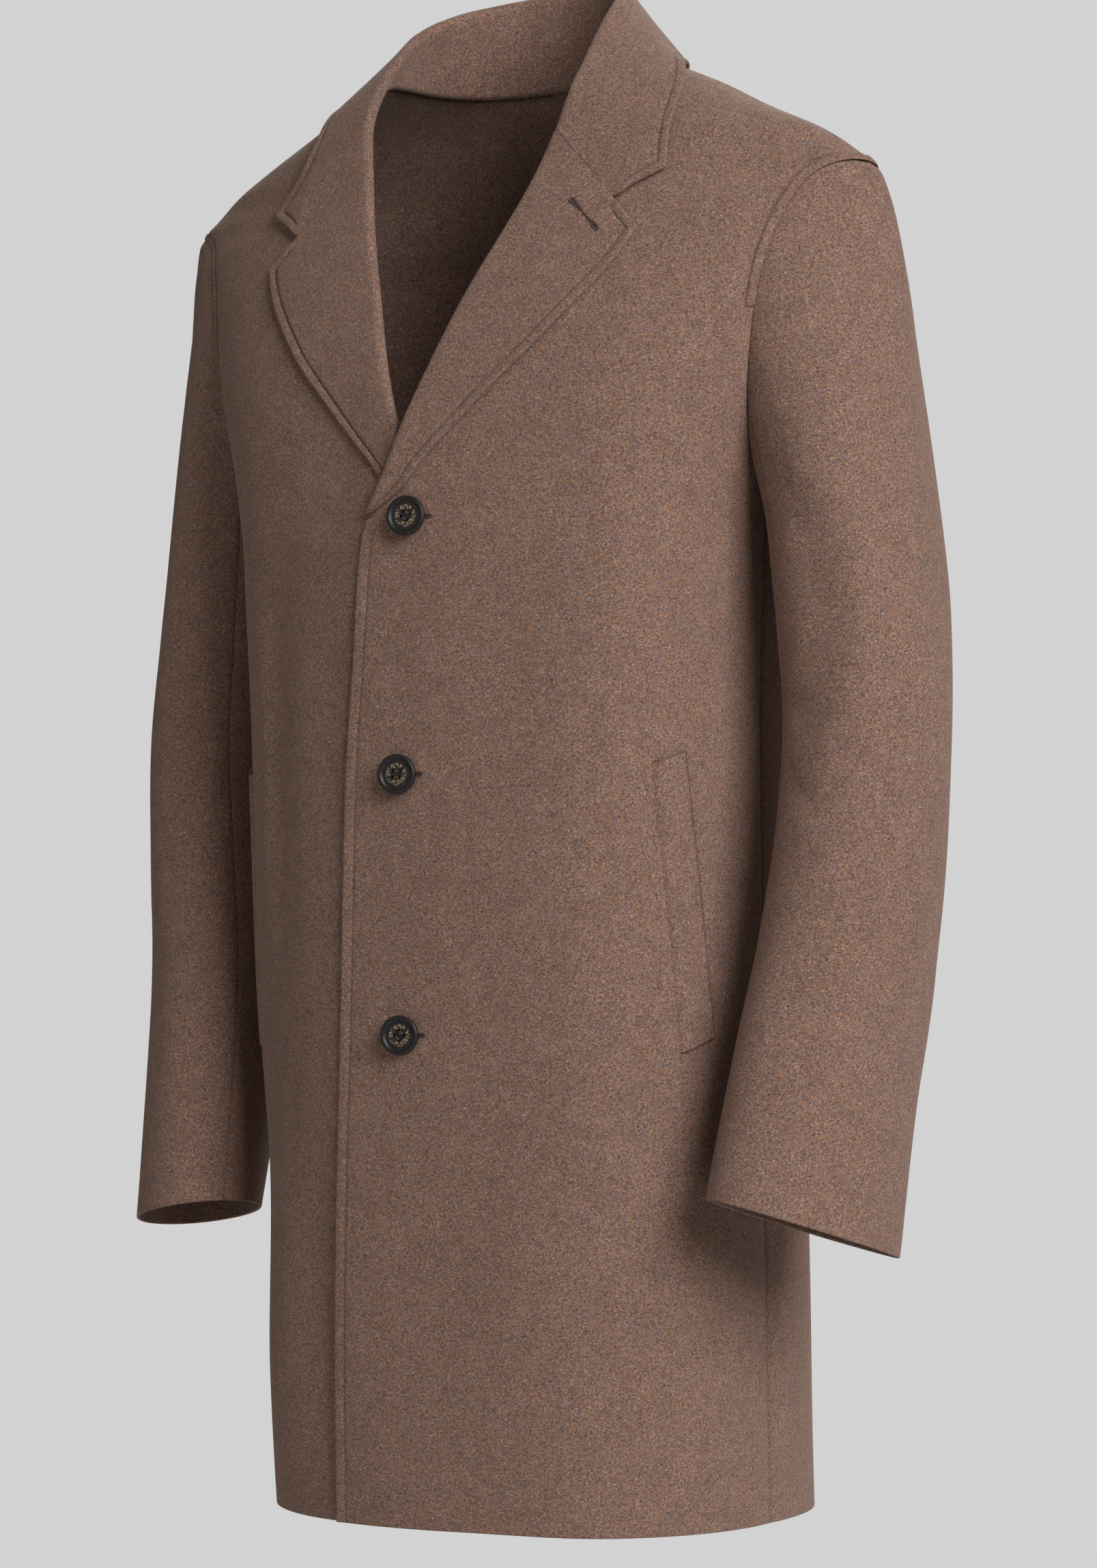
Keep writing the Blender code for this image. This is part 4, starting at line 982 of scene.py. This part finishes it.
def collar():
    """Whole collar from the left gorge round the back to the right one; returns its stitch line."""
    rows = np.array(collar_half(1) + collar_half(-1)[-2::-1])
    notch = len(STAND_SPREAD) + len(ROLL_ARC) + LEAF_SPREAD.index(NOTCH_SHARE)
    rows = refine(rows, 0, COLLAR_FIND[0])
    notch_run = float(run_lengths(rows, 1)[0, notch]) + SEAM_TUCK
    stitched = edge_lines(TURNED_INSET)
    middle = resample(refine(rows, 1, COLLAR_FIND[1]), 1, edge_lines(), stitched, COLLAR_GRID[0])
    middle = resample(middle, 0, stitched, stitched, COLLAR_GRID[1])
    foot = middle[:, :1]
    foot = foot + unit(foot - middle[:, FOOT_COLUMN:FOOT_COLUMN + 1]) * SEAM_TUCK
    return turned_piece("collar", np.concatenate((foot, middle), 1), 1, notch_run, True)[0]


def sleeve_ring(side, z, turn):
    """Points of a sleeve ring, laid out on the left: turn 0 faces the body."""
    x, y, half_width, half_depth, axis_turn = (curve_value(SLEEVE_RINGS, z, i) for i in range(1, 6))
    local_x, local_y = -half_width * np.cos(turn), -half_depth * np.sin(turn)
    cos_turn, sin_turn = np.cos(np.radians(axis_turn)), np.sin(np.radians(axis_turn))
    dx = local_x * cos_turn + local_y * sin_turn
    dy = -local_x * sin_turn + local_y * cos_turn
    near_cuff = smoothstep(CUFF_TILT_START_Z, CUFF_Z, z)
    lean_x = column_slope(SLEEVE_RINGS, z, 1) + CUFF_TILT * near_cuff
    lean_y = column_slope(SLEEVE_RINGS, z, 2) + CUFF_PITCH[side] * near_cuff
    drop = CUFF_DROP[side] * near_cuff
    return np.stack((x + dx, y + dy, z - lean_x * dx - lean_y * dy - drop), -1)


def seam_point(turn):
    """Sleeve side of the left armhole at any turn round it."""
    step = turn / np.pi * ARM_STEPS
    is_back = (step > ARM_STEPS) | (step < 0)
    folded = np.where(step < 0, -step, np.where(step > ARM_STEPS, 2 * ARM_STEPS - step, step))
    point = body_point(*armhole_loop(folded, is_back))
    spoke = point - ARM_CENTRE
    spoke = unit(spoke - ARM_NORMAL * (spoke @ ARM_NORMAL)[..., None])
    return point - spoke * SLEEVE_STEP_DOWN


def sleeve_point(side, turn, level):
    """Sleeve, laid out on the left: level 0 to 1 over the cap, 1 to 2 down the arm to the cuff."""
    turn, level = np.broadcast_arrays(np.asarray(turn, float), np.asarray(level, float))
    arm = sleeve_ring(side, lerp(ARMPIT_Z, CUFF_Z, np.maximum(level - 1, 0.0)), turn)
    start = seam_point(turn)
    end = sleeve_ring(side, np.full(turn.shape, ARMPIT_Z), turn)
    length = np.linalg.norm(end - start, axis=-1)
    upper = (1 - np.cos(turn)) / 2
    leave = unit(ARM_NORMAL * upper[..., None] + np.array((0, 0, -1.0)) * (1 - upper)[..., None])
    reach = np.minimum(lerp(CAP_REACH_SIDE, CAP_REACH_TOP, upper), CAP_REACH_SHARE * length)
    arrive = unit(end - sleeve_ring(side, np.full(turn.shape, ARMPIT_Z - ARRIVAL_STEP), turn))
    first = start + leave * reach[..., None]
    second = end + arrive * (CAP_SETTLE * length)[..., None]
    t = np.clip(level, 0.0, 1.0)[..., None]
    s = 1 - t
    cap = start * s ** 3 + first * (3 * s * s * t) + second * (3 * s * t * t) + end * t ** 3
    return np.where((level >= 1)[..., None], arm, cap)


def sleeve(side, kind, first_step, last_step):
    """Upper or under sleeve between its two seams, with folds and a rounded cuff."""
    arm_length = ARMPIT_Z - CUFF_Z
    start, end = (math.pi * step / ARM_STEPS for step in (first_step, last_step))
    lines = edge_lines() / SLEEVE_GIRTH
    turns = start + grid_lines(end - start, lines, lines, int((end - start) * SLEEVE_GIRTH / CLOTH_STEP))
    cap_rows, arm_rows = int(CAP_LENGTH / CLOTH_STEP) + CAP_EXTRA_ROWS, int(arm_length / CLOTH_STEP)
    cap = grid_lines(1.0, edge_lines() / CAP_LENGTH, CAP_END_LINES, cap_rows)
    arm = 1 + grid_lines(1.0, ARM_START_LINES, edge_lines() / arm_length, arm_rows)
    turn, level = np.meshgrid(turns, np.concatenate((cap[:-1], arm)))
    above, below = np.maximum(level - STEP, 0.0), np.minimum(level + STEP, 2.0)
    along_arm = sleeve_point(side, turn, below) - sleeve_point(side, turn, above)
    round_arm = sleeve_point(side, turn + STEP, level) - sleeve_point(side, turn - STEP, level)
    normal = unit(np.cross(along_arm, round_arm))
    base = sleeve_point(side, turn, level)
    mirror = (side, 1, 1)
    base = np.concatenate((base[:1] - ARM_NORMAL * SEAM_TUCK, base)) * mirror
    normal = np.concatenate((normal[:1], normal)) * mirror
    from_first, from_last, down, from_cuff = distances(base)
    to_seam = np.minimum(from_first, from_last)
    shift = folds(side, SLEEVE_CREASES, base, lambda t, h: sleeve_point(side, np.radians(t), h) * mirror)
    seam = seam_dip(to_seam)
    at_tip = smoothstep(CAP_LIFT_START, 1.0, (1 - np.cos(turns)) / 2)
    near_cap = 1 - smoothstep(SEAM_TUCK, SEAM_TUCK + CAP_LIFT_RUN, down)
    lift = CAP_LIFT[side] * at_tip * near_cap - SLEEVE_SEAM_DIP * seam
    borders = ((from_cuff, SLEEVE_WALL / 2), (down, SEAM_ROUND), (to_seam, SEAM_ROUND))
    side_name = SIDE_NAMES[side]
    # Seams darkened: pressed cloth with painted shade
    add_cloth("sleeve_" + kind + "_" + side_name, base, normal, SLEEVE_WALL, lift,
              shift * smoothstep(0.0, CALM_CAP, down), SLEEVE_SEAM_PRESS_SHADE * seam, borders)


def welt(side):
    """Pocket welt: sewn down along its front edge and ends, open along its rear edge; painted shade darkens
    its sewn edge and ends, and a painted shadow line runs along the open rear edge.
    """
    front_edge, rear_edge = welt_edge(side, 0), welt_edge(side, 1)
    length, width = run_lengths(front_edge, 0)[-1], np.linalg.norm(front_edge[0] - rear_edge[0])
    over = grid_lines(1.0, edge_lines() / width, edge_lines() / width, WELT_LINES)
    down = grid_lines(1.0, edge_lines() / length, edge_lines() / length, int(length / CLOTH_STEP))
    over, down = np.meshgrid(over, down)
    angles, heights = np.transpose(WELT_CORNERS)
    corners = np.radians(angles), heights
    angle, z = (lerp(lerp(c[0], c[1], over), lerp(c[3], c[2], over), down) for c in corners)
    base = front_point(side, side * angle, z, SEAM_GAP + WELT_THICKNESS)
    normal = body_normal(side * angle, z)
    across, from_rear, from_top, from_bottom = distances(base)
    from_end = np.minimum(from_top, from_bottom)
    sink = SEAM_GAP + WELT_THICKNESS + WELT_SEAM_DEPTH
    shift = front_folds(side, base) - sink * (1 - smoothstep(0.0, WELT_SEAM_RUN, across))
    lift = WELT_RIM_PUFF * (1 - smoothstep(0.0, WELT_RIM, from_rear))
    # Painted shade with pressing along the sewn front edge, painted shade along the ends, and a painted
    # shadow line along the open rear edge
    sewn_shade = SEAM_PRESS_SHADE * (1 - smoothstep(0.0, WELT_SEAM_RUN / 2, across))
    end_shade_line = 1 - smoothstep(WELT_END_SHADE_WIDTH / 2, WELT_END_SHADE_WIDTH, from_end)
    rear_shadow_line = 1 - smoothstep(WELT_REAR_SHADOW_WIDTH / 2, WELT_REAR_SHADOW_WIDTH, from_rear)
    press_shade = np.maximum.reduce((sewn_shade, end_shade_line, rear_shadow_line))
    borders = ((from_rear, WELT_THICKNESS / 2), (from_end, WELT_END_ROUND), (across, SEAM_ROUND))
    add_cloth("welt_" + SIDE_NAMES[side], base, normal, WELT_THICKNESS, lift, shift, press_shade, borders)


def add_mesh(name, parts, material):
    """One object from a list of (points, faces) parts."""
    points, faces = [], []
    for part_points, part_faces in parts:
        faces += [[i + len(points) for i in face] for face in part_faces]
        points += list(part_points)
    return new_piece(name, smooth_mesh(name, np.array(points), faces), material)


BAR_FACES = ([(0, 1 + (i + 1) % 4, 1 + i) for i in range(4)]
             + [(1 + i, 1 + (i + 1) % 4, 5 + (i + 1) % 4, 5 + i) for i in range(4)]
             + [(9, 5 + i, 5 + (i + 1) % 4) for i in range(4)])


def thread_bar(start, end, normal, radius):
    """One length of thread lying on the cloth: a thin bar with pointed ends."""
    point = (end - start) * BAR_POINT
    side = unit(np.cross(end - start, normal))
    ring = [normal * radius, side * radius, -normal * radius, -side * radius]
    points = [start] + [start + point + r for r in ring] + [end - point + r for r in ring] + [end]
    return points, BAR_FACES


def stitches(path):
    """Thread bars along a path, with normals that point away from the middle of the coat."""
    run = run_lengths(path, 0)
    hub = np.array((0.0, NECK_CENTRE_Y, path[:, 2].mean()))
    parts = []
    for i in range(int(run[-1] / STITCH_PITCH)):
        start, end = along_line(STITCH_PITCH * (i + np.array((0.0, STITCH_SHARE))), run, path)
        away = unit((start - hub) * STITCH_LEAN)
        sink = away * STITCH_SINK
        parts.append(thread_bar(start - sink, end - sink, away, STITCH_RADIUS))
    return parts


def on_face(face, x, z):
    """Point of a shell, given as points and normals, at a front x and height, and its normal."""
    points, normals = (values.reshape(-1, 3) for values in face)
    spot = np.argmin((points[:, 0] - x) ** 2 + (points[:, 2] - z) ** 2)
    step = np.array((x - points[spot, 0], 0.0, z - points[spot, 2]))
    return points[spot] + step - normals[spot] * (step @ normals[spot]), normals[spot]


def worked_hole(name, face, ends, width, eye):
    """Buttonhole in a shell between two places: thread bars round a slit filled with a dark sheet of painted
    shade, with an eye at the first.
    """
    (start, start_normal), (end, end_normal) = (on_face(face, x, z) for x, z in ends)
    place, reach = (start + end) / 2, np.linalg.norm(end - start) / 2
    along, normal = unit(end - start), unit(start_normal + end_normal)
    across = np.cross(normal, along)
    raised, on_top = normal * HOLE_RAISE, normal * (HOLE_RAISE + HOLE_THREAD)
    bars, slit_shade = [], []
    for turn in np.linspace(0, 2 * math.pi, HOLE_BARS, endpoint=False):
        cos, sin = math.cos(turn), math.sin(turn)
        half = width / 2 * lerp(1.0, eye, smoothstep(*HOLE_EYE_SPAN, cos))
        u = along * (reach * np.copysign(abs(cos) ** HOLE_POWERS[0], cos))
        v = across * (half * np.copysign(abs(sin) ** HOLE_POWERS[1], sin))
        inner = place + u * BAR_INNER[0] + v * BAR_INNER[1] + raised
        bars.append(thread_bar(inner, place + u + v + raised / 2, normal, HOLE_THREAD))
        slit_shade.append(place + u * SLIT_SHADE_REACH[0] + v * SLIT_SHADE_REACH[1] + on_top)
    add_mesh(name, bars, BUTTONHOLE_THREAD)
    fan = [(i, (i + 1) % HOLE_BARS, HOLE_BARS) for i in range(HOLE_BARS)]
    # Dark fan of painted shade over the slit's opening
    add_mesh(name + "_slit", [(slit_shade + [place + on_top], fan)], SLIT_SHADE)


def hole_places(turn, height):
    """Middles of a button's four holes at one height."""
    turns = [math.radians(turn) + i * math.pi / 2 for i in range(4)]
    return [np.array((HOLE_REACH * math.cos(a), HOLE_REACH * math.sin(a), height)) for a in turns]


def button_mesh(name, turn):
    """Turned button about +Z with a raised rim and four holes."""
    shape = bmesh.new()
    profile = [shape.verts.new((r * BUTTON_RADIUS, 0.0, h * BUTTON_HEIGHT)) for r, h in BUTTON_PROFILE]
    edges = [shape.edges.new(pair) for pair in zip(profile, profile[1:])]
    bmesh.ops.spin(shape, geom=profile + edges, axis=(0, 0, 1), cent=(0, 0, 0), steps=BUTTON_STEPS,
                   angle=2 * math.pi, use_merge=True)
    bmesh.ops.remove_doubles(shape, verts=shape.verts, dist=STEP / 10)
    bmesh.ops.recalc_face_normals(shape, faces=shape.faces)
    cutter = bmesh.new()
    for place in hole_places(turn, BUTTON_HEIGHT / 2):
        bmesh.ops.create_cone(cutter, cap_ends=True, segments=HOLE_SEGMENTS, radius1=HOLE_RADIUS,
                              radius2=HOLE_RADIUS, depth=2 * BUTTON_HEIGHT,
                              matrix=Matrix.Translation(Vector(place)))
    blank, tool = put_shape(name + "_blank", shape), put_shape(name + "_holes", cutter)
    cut = blank.modifiers.new("holes", "BOOLEAN")
    cut.object = tool
    mesh = bpy.data.meshes.new_from_object(blank.evaluated_get(bpy.context.evaluated_depsgraph_get()))
    for helper in (blank, tool):
        bpy.data.objects.remove(helper)
    mesh.materials.clear()
    mesh.shade_smooth()
    mesh.set_sharp_from_angle(angle=SHARP_ANGLE)
    return mesh


def add_button(name, x, z, turn, face):
    """Button sewn on the left front with its thread."""
    seat, seat_normal = on_face(face, x, z)
    normal = Matrix.Rotation(BUTTON_TURN, 3, "Z") @ Vector(seat_normal)
    right = Vector((0, 0, 1)).cross(normal).normalized()
    axes = Matrix((right, normal.cross(right), normal)).transposed().to_4x4()
    place = Matrix.Translation(Vector(seat + seat_normal * BUTTON_STAND_OFF)) @ axes
    button = new_piece("turned_" + name, button_mesh(name, turn), BUTTON, place)
    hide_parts(name)
    up = np.array((0.0, 0.0, 1.0))
    eyes = hole_places(turn, BUTTON_HEIGHT * THREAD_LEVEL)
    parts = []
    for start, end in (eyes[:2], eyes[2:]):
        for slide in THREAD_SLIDES:
            across = unit(np.cross(end - start, up)) * slide
            points, faces = thread_bar(start + across, end + across, up, BUTTON_THREAD)
            parts.append(([np.array(place @ Vector(p)) for p in points], faces))
    add_mesh("thread_" + name, parts, BUTTONHOLE_THREAD)


def set_inputs(tree, node, inputs):
    """Give a node's inputs, by name or number, a value or a link from another node."""
    for key, value in inputs.items():
        if isinstance(value, bpy.types.NodeSocket):
            tree.links.new(value, node.inputs[key])
        else:
            node.inputs[key].default_value = value


def add_node(tree, kind, inputs):
    """New shader node with its inputs."""
    node = tree.nodes.new("ShaderNode" + kind)
    set_inputs(tree, node, inputs)
    return node


def new_material(name, surface):
    """New material with its node tree and main shader."""
    material = bpy.data.materials.new(name)
    material.use_nodes = True
    tree = material.node_tree
    shader = tree.nodes["Principled BSDF"]
    set_inputs(tree, shader, {"Metallic": 0.0, **surface})
    return material, tree, shader


def object_place(tree, stretch=(1.0, 1.0, 1.0)):
    """Object coordinates, stretched along the axes."""
    place = tree.nodes.new("ShaderNodeTexCoord").outputs["Object"]
    return add_node(tree, "Mapping", {"Vector": place, "Scale": stretch}).outputs["Vector"]


def add_noise(tree, where, scale, detail, roughness, distortion=0.0):
    """Noise over the object's own metres."""
    inputs = {"Vector": where, "Scale": scale, "Detail": detail, "Roughness": roughness,
              "Distortion": distortion}
    return add_node(tree, "TexNoise", inputs).outputs["Fac"]


def add_ramp(tree, value, stops):
    """Colour ramp through (place, colour) stops, where a single number is a grey."""
    node = add_node(tree, "ValToRGB", {"Fac": value})
    elements = node.color_ramp.elements
    while len(elements) < len(stops):
        elements.new(0.5)
    for element, (place, colour) in zip(elements, stops):
        element.position = place
        element.color = (*np.broadcast_to(colour, 3), 1.0)
    return node.outputs["Color"]


def shades(colour, stops):
    """Ramp stops with darker and lighter shades of one colour."""
    return [(place, tuple(c * factor for c in colour)) for place, factor in stops]


def add_mix(tree, share, first, second, blend="MIX"):
    """Mix of two colours; each input is a socket or a value."""
    node = tree.nodes.new("ShaderNodeMix")
    node.data_type = "RGBA"
    node.blend_type = blend
    first_key, second_key = (i for i, socket in enumerate(node.inputs) if socket.type == "RGBA")
    set_inputs(tree, node, {"Factor": share, first_key: first, second_key: second})
    return next(socket for socket in node.outputs if socket.type == "RGBA")


def add_bump(tree, height, strength, distance, normal=None):
    """Bump from a height, on top of another one."""
    node = add_node(tree, "Bump", {"Height": height, "Strength": strength, "Distance": distance})
    if normal:
        set_inputs(tree, node, {"Normal": normal})
    return node.outputs["Normal"]


def wool_material():
    """Felted heathered wool: mixed fibre colours, fine fuzz and a soft sheen, darkened by painted shade with
    pressing along grooves and seams.
    """
    material, tree, shader = new_material("wool", WOOL_SURFACE)
    places = {"cloth": object_place(tree), "fibre": object_place(tree, FIBRE_STRETCH)}
    # Colour darkened along grooves and seams: pressed cloth together with painted shade
    press_shade_attribute = tree.nodes.new("ShaderNodeAttribute")
    press_shade_attribute.attribute_name = PRESS_SHADE_NAME
    layers = []
    for kind, noise, stops in WOOL_LAYERS:
        layers.append(add_ramp(tree, add_noise(tree, places[kind], *noise), stops))
    layers.append(add_ramp(tree, press_shade_attribute.outputs["Fac"], PRESS_SHADE_STOPS))
    colour = layers[0]
    for layer in layers[1:]:
        colour = add_mix(tree, 1.0, colour, layer, "MULTIPLY")
    normal = None
    for kind, noise, strength, distance in WOOL_BUMPS:
        normal = add_bump(tree, add_noise(tree, places[kind], *noise), strength, distance, normal)
    set_inputs(tree, shader, {"Base Color": colour, "Normal": normal})
    return material


def shaded_material(name, colour, roughness, noise, stops, bump):
    """Surface of one colour in darker and lighter shades, with a bump where one is given."""
    material, tree, shader = new_material(name, {"Roughness": roughness})
    height = add_noise(tree, object_place(tree), *noise)
    set_inputs(tree, shader, {"Base Color": add_ramp(tree, height, shades(colour, stops))})
    if bump:
        set_inputs(tree, shader, {"Normal": add_bump(tree, height, *bump)})
    return material


def button_material():
    """Dark polished button with pale horn-like flecks round the holes."""
    material, tree, shader = new_material("button", BUTTON_SURFACE)
    place = object_place(tree)
    length = add_node(tree, "VectorMath", {0: object_place(tree, (1.0, 1.0, 0.0))})
    length.operation = "LENGTH"
    inner, outer = (BUTTON_RADIUS * share for share in HORN_RING)
    inputs = {"Value": length.outputs["Value"], "From Min": inner, "From Max": outer}
    ring = add_ramp(tree, add_node(tree, "MapRange", inputs).outputs["Result"], RING_STOPS)
    fleck = add_ramp(tree, add_noise(tree, place, *FLECK_NOISE), FLECK_STOPS)
    share = add_mix(tree, 1.0, ring, fleck, "MULTIPLY")
    swirl = add_ramp(tree, add_noise(tree, place, *SWIRL_NOISE), shades(BUTTON_COLOUR, SWIRL_SHADES))
    scratch = add_bump(tree, add_noise(tree, place, *SCRATCH_NOISE), *SCRATCH_BUMP)
    set_inputs(tree, shader, {"Base Color": add_mix(tree, share, swirl, HORN_COLOUR), "Normal": scratch})
    return material


def aim(name, data, target, azimuth, elevation, distance):
    """Light or camera that looks at a target from a bearing in degrees and a distance."""
    a, e = math.radians(azimuth), math.radians(elevation)
    back_way = Vector((math.sin(a) * math.cos(e), -math.cos(a) * math.cos(e), math.sin(e)))
    made = put(name, data)
    made.location = Vector(target) + back_way * distance
    made.rotation_euler = (-back_way).to_track_quat("-Z", "Y").to_euler()
    return made


def add_lights():
    """Soft area lights round the coat and a dim even surround with a pale grey backdrop."""
    for name, azimuth, elevation, distance, size, power in LIGHTS:
        data = bpy.data.lights.new(name, "AREA")
        data.shape = "SQUARE"
        data.size = size
        data.energy = power
        aim(name, data, LIGHT_TARGET, azimuth, elevation, distance)
    world = bpy.data.worlds.new("studio")
    world.use_nodes = True
    tree = world.node_tree
    tree.nodes.clear()
    shown = [add_node(tree, "Background", {"Color": colour}) for colour in (AMBIENT, BACKGROUND)]
    lit, seen = (node.outputs["Background"] for node in shown)
    rays = tree.nodes.new("ShaderNodeLightPath")
    pick = add_node(tree, "MixShader", {"Fac": rays.outputs["Is Camera Ray"], 1: lit, 2: seen})
    add_node(tree, "OutputWorld", {"Surface": pick.outputs["Shader"]})
    bpy.context.scene.world = world
    bpy.context.scene.view_settings.view_transform = "Standard"


def add_floor():
    """Plain pale floor under the coat."""
    shape = bmesh.new()
    bmesh.ops.create_circle(shape, cap_ends=True, radius=FLOOR_RADIUS, segments=FLOOR_SEGMENTS)
    floor = put_shape("floor", shape)
    floor.data.materials.append(FLOOR)
    floor.location = (0, 0, FLOOR_Z)


def add_camera():
    """Level camera at the photograph's angle, with its framing."""
    data = bpy.data.cameras.new("camera")
    data.sensor_width = SENSOR_WIDTH
    data.lens = CAMERA_LENS
    data.shift_x, data.shift_y = CAMERA_SHIFT
    target = (0.0, 0.0, CAMERA_Z)
    bpy.context.scene.camera = aim("camera", data, target, CAMERA_AZIMUTH, 0.0, CAMERA_DISTANCE)


WOOL = wool_material()
BUTTON = button_material()
THREAD, BUTTONHOLE_THREAD, SLIT_SHADE, FLOOR = (shaded_material(*row) for row in SHADED_SURFACES)

SEWN_LINES = dict(zip(("back_arm_left", "back_arm_right"), back()))
SEWN_LINES["collar"] = collar()
for side, side_name in SIDE_NAMES.items():
    edge_line, arm_line, *front_face = front(side)
    SEWN_LINES["edge_" + side_name] = edge_line
    SEWN_LINES["front_arm_" + side_name] = arm_line
    SEWN_LINES["lapel_" + side_name], *lapel_face = lapel(side)
    if side > 0:
        left_face = front_face
        worked_hole("hole_lapel", lapel_face, LAPEL_HOLE, LAPEL_HOLE_WIDTH, LAPEL_HOLE_EYE)
    sleeve(side, "upper", FRONT_SEAM_STEP, 2 * ARM_STEPS - BACK_SEAM_STEP)
    sleeve(side, "under", -BACK_SEAM_STEP, FRONT_SEAM_STEP)
    welt(side)
for line_name, line in SEWN_LINES.items():
    add_mesh("stitch_" + line_name, stitches(line), THREAD)

for button_name, button_x, button_z, button_turn in BUTTONS:
    add_button(button_name, button_x, button_z, button_turn, left_face)
    hole_start = button_x - HOLE_SETBACK
    hole_ends = (hole_start, button_z), (hole_start + HOLE_LENGTH, button_z)
    worked_hole("hole_" + button_name, left_face, hole_ends, HOLE_WIDTH, HOLE_EYE)

add_lights()
add_floor()
add_camera()
